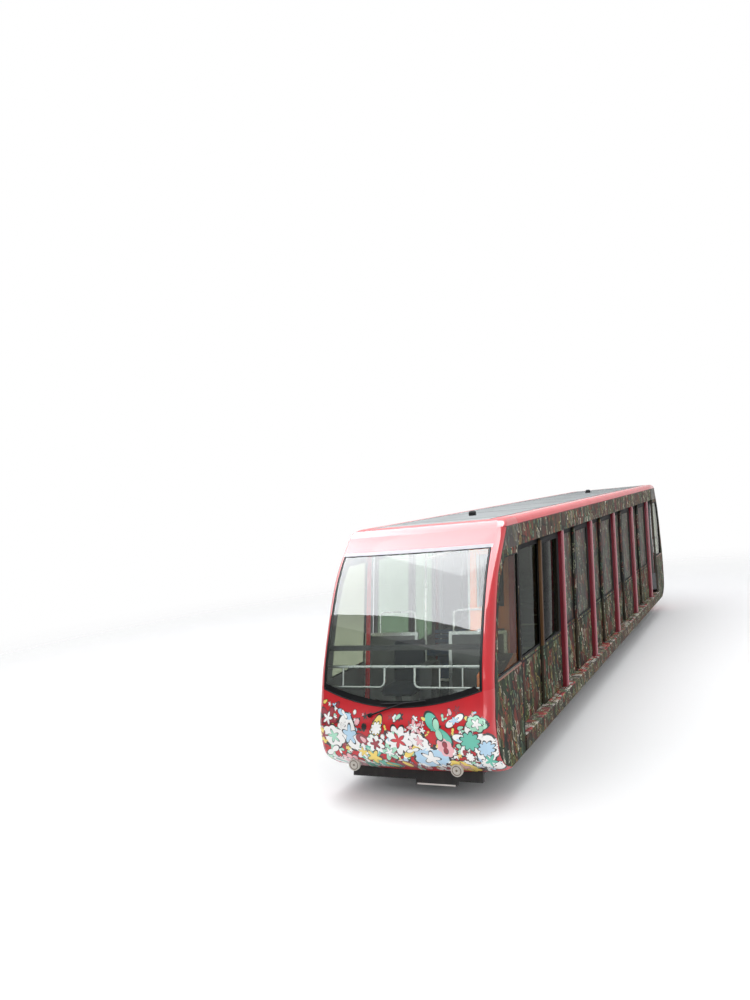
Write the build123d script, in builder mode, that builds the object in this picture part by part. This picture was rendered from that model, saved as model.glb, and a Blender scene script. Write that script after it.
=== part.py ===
from build123d import *
import os
from math import atan, cos, sin

os.makedirs("parts", exist_ok=True)

# Driving dimensions in millimetres. A station is a distance uphill along the rails, taken at rail height.
# Heights are above the rail head. Upright lines lean uphill by the slope, since the car hangs plumb.
slope = 0.2644
side_length = 14700
middle = 7704
flange_depth = 20
half_width = 1170
sill_half_width = 1220
recess = 120
wall = 40
seam = 1086
gauge_half = 530

# Heights above the rail head
skirt_bottom = 360
ledge_top = 570
belt = 1420
cantrail_bottom = 2990
roof_edge = 3290
roof_top = 3390
roof_thickness = 60
floor_bottom = 640

# Bays between the red pillars, and the sliding leaf at the uphill half of each
pillar_stations = (3544, 5774, 8060, 10336, 12680)
pillar_width = 140
leaf_width = 1070
leaf_thickness = 40
leaf_gap = 12
run_clearance = 10
tongue_thickness = 8
tongue_play = 0.3
frame_bar = 80
glass_thickness = 8
edge_round = 18
sill_round = 25
seat_gap = 0.3

# Running gear
bogie_places = (("valley", -4200), ("uphill", 4200))
half_wheelbase = 800
tread_radius = 300
axle_radius = 60
journal_radius = 50
bearing_play = 0.3

lean = atan(slope)
fall = slope / (1 + slope * slope)
bay_face = half_width - recess
bay_inner = bay_face - wall
uphill_seam = side_length - seam
sides = (("right", -1), ("left", 1))
ends = (("valley", 1), ("uphill", -1))


def along(station, height):
    return station - middle + slope * height


def corner(station, height):
    return (along(station, height), height + flange_depth)


# A leaning block: between two stations, two heights and two distances from the centre line.
def block(start, end, low, high, near, far, side, mode=Mode.ADD):
    offset = near if side < 0 else -far
    with BuildSketch(Plane.XZ.offset(offset)) as outline:
        with BuildLine():
            Polyline(corner(start, low), corner(end, low), corner(end, high), corner(start, high), close=True)
        make_face()
    extrude(outline.sketch, amount=far - near, mode=mode)


def cross_block(start, end, low, high, reach, mode=Mode.ADD):
    block(start, end, low, high, -reach, reach, -1, mode)


# A level block with plumb sides, standing on a level tread: from a foot point, so long, from low to high
def level_block(station, height, length, low, high, near, far, side, mode=Mode.ADD):
    x, z = corner(station, height)

    def spot(run, rise):
        return (x + run * cos(lean) + rise * sin(lean), z - run * sin(lean) + rise * cos(lean))

    with BuildSketch(Plane.XZ.offset(near if side < 0 else -far)) as outline:
        with BuildLine():
            Polyline(spot(0, low), spot(length, low), spot(length, high), spot(0, high), close=True)
        make_face()
    extrude(outline.sketch, amount=far - near, mode=mode)


# A round bar between two points given as station, offset and height
def rod(first, second, radius, mode=Mode.ADD):
    start, finish = (Vector(along(s, h), y, h + flange_depth) for s, y, h in (first, second))
    run = finish - start
    with BuildSketch(Plane(origin=start, z_dir=run)) as outline:
        Circle(radius)
    extrude(outline.sketch, amount=run.length, mode=mode)


# An upright box that ignores the lean, for the running gear
def box(x_middle, length, low, high, y_middle, width, mode=Mode.ADD):
    with BuildSketch(Plane.XY.offset(low + flange_depth)) as outline:
        with Locations((x_middle, y_middle)):
            Rectangle(length, width)
    extrude(outline.sketch, amount=high - low, mode=mode)


def save(piece, name):
    piece.part.label = name
    export_step(piece.part, f"parts/{name}.step")


bay_starts = (seam,) + tuple(station + pillar_width for station in pillar_stations)
bay_ends = pillar_stations + (uphill_seam,)
door_bays = tuple(zip(bay_starts, bay_ends))[:5]

# Body sides: everything between the two cabs
for name, side in sides:
    with BuildPart() as panels:
        for start, end in zip(bay_starts, bay_ends):
            has_door = end != uphill_seam
            inner_end = end - leaf_width + frame_bar if has_door else end
            block(start, inner_end, ledge_top, cantrail_bottom, bay_inner, bay_face, side)
            block(start + frame_bar, inner_end - frame_bar, belt, cantrail_bottom - frame_bar,
                  bay_inner, bay_face, side, Mode.SUBTRACT)
    save(panels, f"side_panels_{name}")

    with BuildPart() as pillars:
        for start in pillar_stations:
            block(start, start + pillar_width, ledge_top, cantrail_bottom, bay_inner, half_width, side)
        outer_edges = pillars.edges().filter_by(lambda edge: edge.length > pillar_width * 2).group_by(Axis.Y)
        fillet(outer_edges[0] if side < 0 else outer_edges[-1], edge_round)
    save(pillars, f"pillars_{name}")

    with BuildPart() as cantrail:
        block(seam, uphill_seam, cantrail_bottom, roof_top, bay_inner, half_width, side)
        block(seam, uphill_seam, roof_top - roof_thickness, roof_top, 900, half_width, side)
        outer_edge = cantrail.edges().filter_by(Axis.X).group_by(Axis.Z)[-1].sort_by(Axis.Y)
        fillet(outer_edge[0] if side < 0 else outer_edge[-1], roof_top - roof_edge)
        track_middle = bay_face + leaf_gap + leaf_thickness / 2
        block(seam, pillar_stations[-1], cantrail_bottom, cantrail_bottom + 45,
              track_middle - tongue_thickness / 2 - tongue_play,
              track_middle + tongue_thickness / 2 + tongue_play, side, Mode.SUBTRACT)
    save(cantrail, f"cantrail_{name}")

    with BuildPart() as sill:
        block(seam, uphill_seam, skirt_bottom, ledge_top, bay_inner, sill_half_width, side)
        outer_edges = sill.edges().filter_by(Axis.X).group_by(Axis.Y)
        fillet(outer_edges[0] if side < 0 else outer_edges[-1], sill_round)
        for start, end in door_bays:
            block(end - 1150, end - 60, ledge_top, ledge_top + 12, bay_face + leaf_gap, half_width - 10, side)
    save(sill, f"sill_{name}")

    for number, (start, end) in enumerate(door_bays, 1):
        near = bay_face + leaf_gap
        far = near + leaf_thickness
        leaf_end = end - run_clearance
        leaf_start = leaf_end - leaf_width
        leaf_top = cantrail_bottom - run_clearance
        leaf_foot = ledge_top + 12 + 6
        with BuildPart() as leaf:
            block(leaf_start, leaf_end, leaf_foot, leaf_top, near, far, side)
            block(leaf_start + frame_bar, leaf_end - frame_bar, belt, leaf_top - frame_bar,
                  near, far, side, Mode.SUBTRACT)
            pane = (near + far) / 2
            block(leaf_start + frame_bar, leaf_end - frame_bar, belt, leaf_top - frame_bar,
                  pane - glass_thickness / 2, pane + glass_thickness / 2, side)
            block(leaf_start + 150, leaf_end - 150, leaf_top, cantrail_bottom + 40,
                  pane - tongue_thickness / 2, pane + tongue_thickness / 2, side)
        save(leaf, f"door_{name}_{number}")

with BuildPart() as roof:
    cross_block(seam, uphill_seam, roof_top - roof_thickness, roof_top, 900)
save(roof, "roof_panel")

# Cab ends: plan sections at rising heights.
# Columns: height, front at the corner post, side plane start, half width.
end_table = (
    (360, 330, 470, 1205),
    (420, 160, 300, 1205),
    (490, 30, 170, 1205),
    (560, -70, 70, 1204),
    (640, -140, 0, 1203),
    (850, -240, -80, 1198),
    (1150, -275, -120, 1193),
    (1500, -265, -110, 1188),
    (2000, -200, -20, 1180),
    (2420, -95, 65, 1174),
    (2720, 10, 160, 1171),
    (3060, 211, 400, half_width),
    (3290, 377, 590, half_width),
)
# Rounding of the roof edge. Columns: height, how far front and side draw back from the top of the walls.
crown_table = (
    (3290, 0, 0),
    (3340, 60, 14),
    (3373, 130, 44),
    (3390, 230, 100),
)
front_bulge = 110
post_half = 1100
end_wall = 45
screen_thickness = 12
screen_depth = 65


def end_station(station, end):
    return station if end > 0 else side_length - station


# One plan section of a cab end, drawn back at the front and at the sides
def plan_section(height, front, side_start, width, end, draw_front=0, draw_side=0):
    def spot(station, offset):
        return (along(end_station(station, end), height), offset)

    edge = front + draw_front
    start = side_start + draw_front
    reach = width - draw_side
    post = post_half - draw_side
    bend = edge + (start - edge) * 0.45
    shoulder = reach - (reach - post) * 0.27
    with BuildSketch(Plane.XY.offset(height + flange_depth)) as outline:
        with BuildLine():
            ThreePointArc(spot(edge, -post), spot(edge - front_bulge, 0), spot(edge, post))
            Spline(spot(edge, post), spot(bend, shoulder), spot(start, reach))
            Polyline(spot(start, reach), spot(seam, reach), spot(seam, -reach), spot(start, -reach))
            Spline(spot(start, -reach), spot(bend, -shoulder), spot(edge, -post))
        make_face()
    return outline.sketch


def end_body(end, draw_back):
    with BuildPart() as body:
        loft([plan_section(*row, end, draw_back, draw_back) for row in end_table])
    return body.part


# A prism across the car, or part of its width, from an outline of stations and heights
def side_prism(points, end, mode, low_offset=-1500, high_offset=1500):
    with BuildSketch(Plane.XZ.offset(-high_offset)) as outline:
        with BuildLine():
            Polyline(*(corner(end_station(station, end), height) for station, height in points), close=True)
        make_face()
    extrude(outline.sketch, amount=high_offset - low_offset, mode=mode)


# Everything of the cab end ahead of the line where the side plane starts
def front_prism(end, mode):
    split_line = [(side_start + 15, height) for height, front, side_start, width in end_table]
    side_prism([(-900, 200)] + [(split_line[0][0], 200)] + split_line + [(600, 3500), (-900, 3500)], end, mode)


# The windscreen's front view, and the nose below it: a straight waist at the posts and a smile between them
waist = 1420
smile_low = 1240
screen_half_top = 1075
screen_half_low = 1085
screen_top = 3050


def front_extrude(outline, end, mode):
    extrude(outline.sketch, amount=-end * 2600, mode=mode)


def screen_prism(end, mode, trim=0):
    with BuildSketch(Plane.YZ.offset(along(end_station(1400, end), 0))) as outline:
        with BuildLine():
            low = waist + flange_depth
            top = screen_top + flange_depth - trim
            Line((screen_half_low - trim, low), (screen_half_top - trim, top))
            Line((screen_half_top - trim, top), (trim - screen_half_top, top))
            Line((trim - screen_half_top, top), (trim - screen_half_low, low))
            ThreePointArc((trim - screen_half_low, low), (0, smile_low + flange_depth), (screen_half_low - trim, low))
        make_face()
    front_extrude(outline, end, mode)


def nose_prism(end, mode):
    with BuildSketch(Plane.YZ.offset(along(end_station(1400, end), 0))) as outline:
        with BuildLine():
            low = waist + flange_depth
            ThreePointArc((-screen_half_low, low), (0, smile_low + flange_depth), (screen_half_low, low))
            Polyline((screen_half_low, low), (1500, low), (1500, 100), (-1500, 100), (-1500, low),
                     (-screen_half_low, low))
        make_face()
    front_extrude(outline, end, mode)


# A bent tube in a plumb plane across the car, through points given as offset and height
def cross_tube(station, points, radius, bend):
    with BuildLine(Plane(origin=(along(station, 0), 0, flange_depth), x_dir=(0, 1, 0),
                         z_dir=(cos(lean), 0, -sin(lean)))) as route:
        FilletPolyline(*((offset, height / cos(lean)) for offset, height in points), radius=bend)
    with BuildSketch(Plane(route.line @ 0, z_dir=route.line % 0)) as tube:
        Circle(radius)
    sweep(tube.sketch, path=route.line)


# Cab side window, leaning forward with the post
cab_window = ((40, 1480), (70, 1900), (150, 2350), (290, 2700), (440, 2900), (seam - 60, 2900), (seam - 60, 1480))
cab_glass_face = half_width - 22
outers = {}

tread_low = floor_bottom + 50
tread_pitch = 1157
tread_high = tread_low + fall * tread_pitch
cab_floors = []
# Screens between cab and bays, each with a handrail loop on it. Columns: inner edge, outer edge, loop's inner leg, side.
screen_station = 1000
screen_depth_along = 30
screen_height = 1885
screen_frame = 45
screen_infill_low = 1150
screen_bays = ((300, 1140, 340, 1), (170, 1000, 240, -1))
loop_height = 2165
loop_reach = 560
# Orange wall of the driver's cabin, with a window above and below its middle rail
wall_near = 480
wall_stations = (1035, 1060)
wall_windows = ((1150, 1905), (2190, 2900))
wall_jamb_near = 570
wall_jamb_far = 960
# Dark bar across the cab behind the windscreen
bar_stations = (-100, -70)
bar_heights = (1858, 1921)
rail_station = -100
rail_height = 1660
rail_foot = 1410
rail_radius = 19
loop_radius = 15
bar_radius = 11
rail_bend = 70
# Low loops of the guard rail. Columns: inner end, outer end, offsets of the upright bars.
rail_loops = ((290, 1300, (895,)), (-134, -1300, (-476, -780)))
rope_gap_half = 90
headstock = (330, 420)
deflector_front = 255
deflector_low = 170
desk_front = 420
desk_back = 960
desk_near = 780
desk_low = 1440
desk_high = 1600
for end_name, end in ends:
    with BuildPart() as outer:
        loft([plan_section(*row, end) for row in end_table])
        top_row = end_table[-1][1:]
        loft([plan_section(height, *top_row, end, draw_front, draw_side)
              for height, draw_front, draw_side in crown_table])
    outers[end_name] = outer.part
    inside = end_body(end, end_wall)

    with BuildPart() as shell:
        add(outer.part)
        add(inside, mode=Mode.SUBTRACT)

    with BuildPart() as nose:
        add(shell.part)
        front_prism(end, Mode.INTERSECT)
        nose_prism(end, Mode.INTERSECT)
    save(nose, f"nose_{end_name}")

    with BuildPart() as opening:
        screen_prism(end, Mode.ADD)
        add(end_body(end, screen_depth), mode=Mode.SUBTRACT)

    with BuildPart() as cab_side:
        add(shell.part)
        front_prism(end, Mode.SUBTRACT)
        side_prism(((-900, cantrail_bottom), (2000, cantrail_bottom), (2000, 3600), (-900, 3600)), end, Mode.SUBTRACT)
        side_prism(cab_window, end, Mode.SUBTRACT)
    for name, side in sides:
        with BuildPart() as one_side:
            add(cab_side.part)
            split(bisect_by=Plane.XZ, keep=Keep.TOP if side < 0 else Keep.BOTTOM)
        save(one_side, f"cab_side_{end_name}_{name}")

    with BuildPart() as frame:
        add(shell.part)
        front_prism(end, Mode.INTERSECT)
        nose_prism(end, Mode.SUBTRACT)
        add(opening.part, mode=Mode.SUBTRACT)
    with BuildPart() as crown:
        add(shell.part)
        front_prism(end, Mode.SUBTRACT)
        side_prism(((-900, cantrail_bottom), (2000, cantrail_bottom), (2000, 3600), (-900, 3600)), end, Mode.INTERSECT)
        add(frame.part)
    save(crown, f"end_frame_{end_name}")

    with BuildPart() as screen:
        add(outer.part)
        add(end_body(end, screen_thickness), mode=Mode.SUBTRACT)
        screen_prism(end, Mode.INTERSECT)
    save(screen, f"windscreen_{end_name}")

    with BuildPart() as cab_floor:
        first, last = (-400, seam) if end > 0 else (uphill_seam, side_length + 400)
        with BuildSketch(Plane.XZ.offset(-1500)) as tread:
            with BuildLine():
                Polyline(corner(first, floor_bottom), corner(last, floor_bottom), corner(last, tread_low),
                         corner(first, tread_low + fall * (last - first)), close=True)
            make_face()
        extrude(tread.sketch, amount=3000)
        add(inside, mode=Mode.INTERSECT)
    cab_floors.append(cab_floor.part)

    # Guard rail behind the windscreen: a full bar over two low loops with an opening between them
    with BuildPart() as guard:
        station = end_station(rail_station, end)
        rod((station, -1300, rail_height), (station, 1300, rail_height), rail_radius)
        for near, far, bars in rail_loops:
            cross_tube(station, ((near, rail_height), (near, rail_foot), (far, rail_foot)), loop_radius, rail_bend)
            for offset in bars:
                rod((station, offset, rail_height), (station, offset, rail_foot), bar_radius)
        add(inside, mode=Mode.INTERSECT)
    save(guard, f"guard_rail_{end_name}")

    with BuildPart() as sight_bar:
        first, last = sorted(end_station(station, end) for station in bar_stations)
        cross_block(first, last, *bar_heights, sill_half_width)
        add(inside, mode=Mode.INTERSECT)
    save(sight_bar, f"cab_bar_{end_name}")

    # Driver's desk with a sloping top, and the wall behind the driver
    with BuildPart() as desk:
        desk_side = -end
        top = ((desk_front, floor_bottom), (desk_back, floor_bottom), (desk_back, desk_high), (desk_front, desk_low))
        side_prism(top, end, Mode.ADD, *sorted((desk_side * desk_near, desk_side * sill_half_width)))
        first, last = sorted(end_station(station, end) for station in wall_stations)
        block(first, last, floor_bottom, roof_top, wall_near, sill_half_width, desk_side)
        for low, high in wall_windows:
            block(first, last, low, high, wall_jamb_near, wall_jamb_far, desk_side, Mode.SUBTRACT)
        add(inside, mode=Mode.INTERSECT)
        add(cab_floor.part, mode=Mode.SUBTRACT)
    save(desk, f"driver_desk_{end_name}")

    with BuildPart() as screens:
        first, last = sorted(end_station(screen_station + depth, end) for depth in (0, screen_depth_along))
        for near, far, leg, side in screen_bays:
            block(first, last, floor_bottom, screen_height, near, far, side)
            inner, outer_edge, top = near + screen_frame, far - screen_frame, screen_height - screen_frame
            block(first, last, screen_infill_low, top, inner, outer_edge, side, Mode.SUBTRACT)
            block(first + screen_frame / 4, last - screen_frame / 4, screen_infill_low, top, inner, outer_edge, side)
            points = ((leg, screen_height - 1), (leg, loop_height),
                      (leg + loop_reach, loop_height), (leg + loop_reach, screen_height - 1))
            cross_tube((first + last) / 2, [(side * offset, height) for offset, height in points],
                       screen_depth_along / 2 - 2, rail_bend)
        add(inside, mode=Mode.INTERSECT)
        add(cab_floor.part, mode=Mode.SUBTRACT)
    save(screens, f"cab_screens_{end_name}")

    # Under the nose: two round buffers on a beam, and a deflector plate close above the rails
    with BuildPart() as buffers:
        for side in (-1, 1):
            face = along(end_station(-127, end), 480)
            stem_end = along(end_station(headstock[0], end), 480)
            for reach, radius in ((40 * end, 75), (stem_end - face, 40)):
                with BuildSketch(Plane(origin=(face, 700 * side, 480 + flange_depth), z_dir=(end, 0, 0))) as disc:
                    Circle(radius)
                extrude(disc.sketch, amount=abs(reach))
        add(outer.part, mode=Mode.SUBTRACT)
    save(buffers, f"buffers_{end_name}")

    with BuildPart() as deflector:
        first, last = sorted((end_station(deflector_front, end), end_station(deflector_front + 60, end)))
        inner, outer_station = sorted((end_station(deflector_front, end), end_station(headstock[1], end)))
        block(first, last, deflector_low + 60, 320, 0, 900, 1)
        block(first, last, deflector_low + 60, 320, 560, 900, -1)
        block(first, last, deflector_low, 320, 0, 560, -1)
        cross_block(inner, outer_station, 320, 355, 900)
        cross_block(*sorted((end_station(headstock[1] - 50, end), end_station(headstock[1], end))), 355, 400, 900)
        if end < 0:
            cross_block(first - 50, last + 50, 100, 330, rope_gap_half, Mode.SUBTRACT)
    save(deflector, f"deflector_{end_name}")

# Fixed glass of each side: one pane in every bay and one in each cab side
for name, side in sides:
    with BuildPart() as glass:
        for start, end in zip(bay_starts, bay_ends):
            has_door = end != uphill_seam
            inner_end = end - leaf_width + frame_bar if has_door else end
            pane_face = bay_face - wall / 2
            block(start + frame_bar, inner_end - frame_bar, belt, cantrail_bottom - frame_bar,
                  pane_face, pane_face + glass_thickness, side)
        for end_name, end in ends:
            faces = sorted((side * cab_glass_face, side * (cab_glass_face + glass_thickness)))
            side_prism(cab_window, end, Mode.ADD, *faces)
    save(glass, f"side_glass_{name}")

# Stepped floor: level treads, each a tread pitch long, with a plumb riser; a level plate in each cab
with BuildPart() as floor:
    with BuildSketch(Plane.XZ.offset(-bay_inner)) as saw:
        with BuildLine():
            points = [corner(seam, floor_bottom)]
            station = seam
            while station < uphill_seam - 1:
                following = min(station + tread_pitch, uphill_seam)
                points.append(corner(station, tread_high))
                points.append(corner(following, tread_high - fall * (following - station)))
                station = following
            points.append(corner(uphill_seam, floor_bottom))
            Polyline(*points, close=True)
        make_face()
    extrude(saw.sketch, amount=2 * bay_inner)
    for cab_floor in cab_floors:
        add(cab_floor)
save(floor, "floor")

# Underframe: two longitudinal beams, cross beams out to the sills, bolsters over the bogies and end beams
beam_near = 210
beam_far = 330
beam_low = 470
cross_beam_low = 520
bolster_length = 400
cross_beam_width = 80
headstock_low = 400
headstock_half = 1000
kingpin_radius = 60
kingpin_length = 110
cross_stations = (1250, 2050, 4950, 6400, 7600, 9000, 10450, 13300)
with BuildPart() as underframe:
    for side in (-1, 1):
        block(headstock[1], side_length - headstock[1], beam_low, floor_bottom, beam_near, beam_far, side)
        for station in cross_stations:
            block(station, station + cross_beam_width, cross_beam_low, floor_bottom, beam_far + seat_gap, bay_inner, side)
    for station in cross_stations[::2]:
        cross_block(station, station + cross_beam_width, cross_beam_low, floor_bottom, beam_near - seat_gap)
    for end_name, end in ends:
        first, last = sorted(end_station(station, end) - end * seat_gap for station in headstock)
        cross_block(first, last, headstock_low, floor_bottom, headstock_half)
    for bogie_name, x_bogie in bogie_places:
        bolster_reach = (bay_inner - beam_far - seat_gap) / 2
        for side in (-1, 1):
            box(x_bogie, bolster_length, beam_low, floor_bottom,
                side * (bay_inner - bolster_reach), 2 * bolster_reach)
        box(x_bogie, bolster_length, beam_low, floor_bottom, 0, 2 * (beam_near - seat_gap))
        with BuildSketch(Plane.XY.offset(beam_low + flange_depth)) as pin_hole:
            with Locations((x_bogie, 0)):
                Circle(kingpin_radius + bearing_play)
        extrude(pin_hole.sketch, amount=kingpin_length, mode=Mode.SUBTRACT)
save(underframe, "underframe")

# Bogies: cast side frames with axle boxes, a cross beam with centre plate and kingpin, and rail brake yokes
side_frame_middle = 705
side_frame_width = 90
axle_height = tread_radius
cross_member_length = 320
cross_member_low = 270
cross_member_high = 430
centre_plate_radius = 150
kingpin_top = 570
# Half outline of a side frame. Columns: distance from the bogie's middle, height.
side_frame_half = ((300, 280), (560, 330), (640, 180), (960, 180), (1000, 260), (1000, 400), (940, 440),
                   (640, 440), (520, 400), (300, 380))
side_frame_round = 20
brake_block_length = 240
brake_block_low = 90
brake_jaw_low = 12
brake_jaw_offset = 47
brake_jaw_width = 36
for bogie_name, x_bogie in bogie_places:
    with BuildPart() as bogie:
        box(x_bogie, cross_member_length, cross_member_low, cross_member_high, 0, 2 * side_frame_middle)
        for side in (-1, 1):
            y_frame = side * side_frame_middle
            with BuildSketch(Plane.XZ.offset(-y_frame - side_frame_width / 2)) as outline:
                with BuildLine():
                    right_half = [(x_bogie + reach, height + flange_depth) for reach, height in side_frame_half]
                    left_half = [(x_bogie - reach, height + flange_depth) for reach, height in side_frame_half]
                    Polyline(*right_half, *reversed(left_half), close=True)
                make_face()
                fillet(outline.vertices(), side_frame_round)
                with Locations(*((x_bogie + reach, axle_height + flange_depth)
                                 for reach in (-half_wheelbase, half_wheelbase))):
                    Circle(journal_radius + bearing_play, mode=Mode.SUBTRACT)
            extrude(outline.sketch, amount=side_frame_width)
        plates = ((centre_plate_radius, beam_low - bearing_play), (kingpin_radius, kingpin_top))
        for radius, high in plates:
            with BuildSketch(Plane.XY.offset(cross_member_high + flange_depth)) as plate:
                with Locations((x_bogie, 0)):
                    Circle(radius)
            extrude(plate.sketch, amount=high - cross_member_high)
    save(bogie, f"bogie_frame_{bogie_name}")

    with BuildPart() as brakes:
        for side in (-1, 1):
            box(x_bogie, brake_block_length, brake_block_low, cross_member_low, side * gauge_half, 130)
            for offset in (gauge_half - brake_jaw_offset, gauge_half + brake_jaw_offset):
                box(x_bogie, brake_block_length, brake_jaw_low, brake_block_low, side * offset, brake_jaw_width)
    save(brakes, f"rail_brakes_{bogie_name}")

# Wheelsets: a flat roller on one rail, a double-flanged wheel on the other. Outline in offset and radius.
web_radius = 250
flange_radius = tread_radius + flange_depth
wheelset_outline = (
    (-760, 0), (-760, journal_radius), (-640, journal_radius), (-640, axle_radius),
    (-545, axle_radius), (-545, web_radius), (-620, web_radius), (-620, tread_radius),
    (-440, tread_radius), (-440, web_radius), (-515, web_radius), (-515, axle_radius),
    (515, axle_radius), (515, web_radius), (465, web_radius), (465, flange_radius),
    (485, tread_radius), (575, tread_radius), (595, flange_radius), (595, web_radius),
    (545, web_radius), (545, axle_radius), (640, axle_radius), (640, journal_radius),
    (760, journal_radius), (760, 0),
)
wheelset_number = 0
for bogie_name, x_bogie in bogie_places:
    for x_axle in (x_bogie - half_wheelbase, x_bogie + half_wheelbase):
        wheelset_number += 1
        z_axle = axle_height + flange_depth
        with BuildPart() as wheelset:
            with BuildSketch(Plane.YZ.offset(x_axle)):
                with BuildLine():
                    Polyline(*((y, z_axle + radius) for y, radius in wheelset_outline), close=True)
                make_face()
            revolve(axis=Axis((x_axle, 0, z_axle), (0, 1, 0)))
        save(wheelset, f"wheelset_{wheelset_number}")

# Equipment boxes hung under the cross beams. Columns: start, end, side.
with BuildPart() as boxes:
    for start, end, side in ((5100, 6900, -1), (7700, 9300, -1), (5500, 8900, 1)):
        block(start, end, 250, cross_beam_low, beam_far, 900, side)
save(boxes, "equipment_boxes")

# Bracket and socket for the hauling rope, under the uphill end beam
socket_height = 230
socket_station = uphill_seam + 260
with BuildPart() as socket:
    cross_block(socket_station, socket_station + 160, 150, beam_low, 70)
    cross_block(socket_station - 40, socket_station + 200, beam_low, cross_beam_low, beam_near)
    x_socket = along(socket_station + 160, socket_height) - 60
    with BuildSketch(Plane(origin=(x_socket, 0, socket_height + flange_depth), z_dir=(1, 0, 0))) as barrel:
        Circle(60)
    extrude(barrel.sketch, amount=360)
    with BuildSketch(Plane(origin=(x_socket + 360, 0, socket_height + flange_depth), z_dir=(-1, 0, 0))) as bore:
        Circle(17)
    extrude(bore.sketch, amount=250, mode=Mode.SUBTRACT)
save(socket, "rope_socket")

# Benches on every second tread, with their backs uphill
with BuildPart() as benches:
    for tread in range(1, 11, 2):
        station = seam + tread * tread_pitch + 640
        height = tread_high - fall * 640
        for side in (-1, 1):
            level_block(station, height, 400, 390, 450, 420, 960, side)
            level_block(station + 150, height - fall * 150, 70, 0, 390, 560, 820, side)
save(benches, "bench_seats")

# Grab rails: poles from tread to ceiling, tied by tubes between them on each side
pole_offset = 340
pole_radius = 18
tie_radius = 14
tie_height = 2850
pole_treads = range(0, 11, 2)
pole_from_riser = 300
with BuildPart() as grabs:
    for side in (-1, 1):
        stations = [seam + tread * tread_pitch + pole_from_riser for tread in pole_treads]
        offset = side * pole_offset
        rod((stations[0], offset, tie_height), (stations[-1], offset, tie_height), tie_radius)
        for radius, mode in ((pole_radius + seat_gap, Mode.SUBTRACT), (pole_radius, Mode.ADD)):
            for station in stations:
                rod((station, offset, floor_bottom + 30), (station, offset, roof_top - roof_thickness + 30),
                    radius, mode)
    add(floor.part, mode=Mode.SUBTRACT)
    add(roof.part, mode=Mode.SUBTRACT)
save(grabs, "grab_rails")

# Small domes on the roof
with BuildPart() as domes:
    for x_dome in (-4300, 4300):
        with BuildSketch(Plane.XY.offset(roof_top + flange_depth)) as foot:
            with Locations((x_dome, 0)):
                Circle(60)
        extrude(foot.sketch, amount=80)
    fillet(domes.faces().filter_by(Axis.Z).group_by(Axis.Z)[-1].edges(), 40)
save(domes, "roof_domes")


# The outside of the nose and windscreen ahead of the corner posts, at an offset and a height
def front_skin(offset, height, end, stand_off):
    for below, above in zip(end_table, end_table[1:]):
        if below[0] <= height <= above[0]:
            share = (height - below[0]) / (above[0] - below[0])
            edge = below[1] + share * (above[1] - below[1])
    station = edge - front_bulge * (1 - (offset / post_half) ** 2) - stand_off
    return (end_station(station, end), offset, height)


# Wiper parked along the foot of the windscreen. Columns: offset, height.
wiper_arm = ((350, 1150), (130, 1225), (-110, 1300))
wiper_blade = ((190, 1290), (-110, 1300), (-400, 1330))
for end_name, end in ends:
    with BuildPart() as wiper:
        for route, radius in ((wiper_arm, 11), (wiper_blade, 9)):
            for first, last in zip(route, route[1:]):
                rod(front_skin(*first, end, 22), front_skin(*last, end, 22), radius)
        rod(front_skin(*wiper_arm[0], end, -40), front_skin(*wiper_arm[0], end, 34), 26)
        add(outers[end_name], mode=Mode.SUBTRACT)
    save(wiper, f"wiper_{end_name}")
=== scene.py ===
import bpy
import bmesh
import random
from math import atan2, cos, exp, pi, radians, sin
from mathutils import Matrix, Vector
from mathutils.bvhtree import BVHTree


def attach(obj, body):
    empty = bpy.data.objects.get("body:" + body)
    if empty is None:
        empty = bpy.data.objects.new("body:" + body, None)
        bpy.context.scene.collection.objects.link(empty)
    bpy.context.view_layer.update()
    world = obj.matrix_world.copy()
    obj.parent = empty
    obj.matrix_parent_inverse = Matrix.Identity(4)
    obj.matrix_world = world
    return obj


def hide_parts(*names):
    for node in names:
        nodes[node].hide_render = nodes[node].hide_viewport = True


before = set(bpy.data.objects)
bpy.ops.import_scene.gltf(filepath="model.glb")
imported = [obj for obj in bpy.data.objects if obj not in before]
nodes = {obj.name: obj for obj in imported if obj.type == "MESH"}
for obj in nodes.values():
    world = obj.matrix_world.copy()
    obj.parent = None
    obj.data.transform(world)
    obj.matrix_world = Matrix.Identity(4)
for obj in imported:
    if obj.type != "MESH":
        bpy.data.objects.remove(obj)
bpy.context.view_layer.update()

# Metres. A station is a distance uphill along the rails, a height is above the rail head.
car = {"slope": 0.2644, "middle": 7.704, "length": 14.7, "flange": 0.02, "seam": 1.086, "halfWidth": 1.17,
       "ledge": 0.57, "belt": 1.42, "cantrail": 2.99, "bayFace": 1.05, "leafGap": 0.012, "leafDepth": 0.04,
       "leafWidth": 1.07, "runGap": 0.01, "bar": 0.08, "pillar": 0.14, "sink": 0.001}
pillarStations = (3.544, 5.774, 8.06, 10.336, 12.68)
uphillSeam = car["length"] - car["seam"]
bayStarts = (car["seam"],) + tuple(station + car["pillar"] for station in pillarStations)
bayEnds = pillarStations + (uphillSeam,)
doorCount = len(pillarStations)
sides = (("right", -1), ("left", 1))
ends = (("valley", 1), ("uphill", -1))


# The place of a station, an offset to the left and a height
def spot(station, offset, height):
    return Vector((station - car["middle"] + car["slope"] * height, offset, height + car["flange"]))


# A station as far from one end as the given one is from the valley end
def endStation(station, end):
    return station if end > 0 else car["length"] - station


# Two limits in rising order, given for the valley end or for the left side
def endSpan(end, start, finish):
    return sorted((endStation(start, end), endStation(finish, end)))


def sideSpan(side, near, far):
    return sorted((side * near, side * far))


# A value at a share of the way from low to high
def between(low, high, share):
    return low + share * (high - low)


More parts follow.
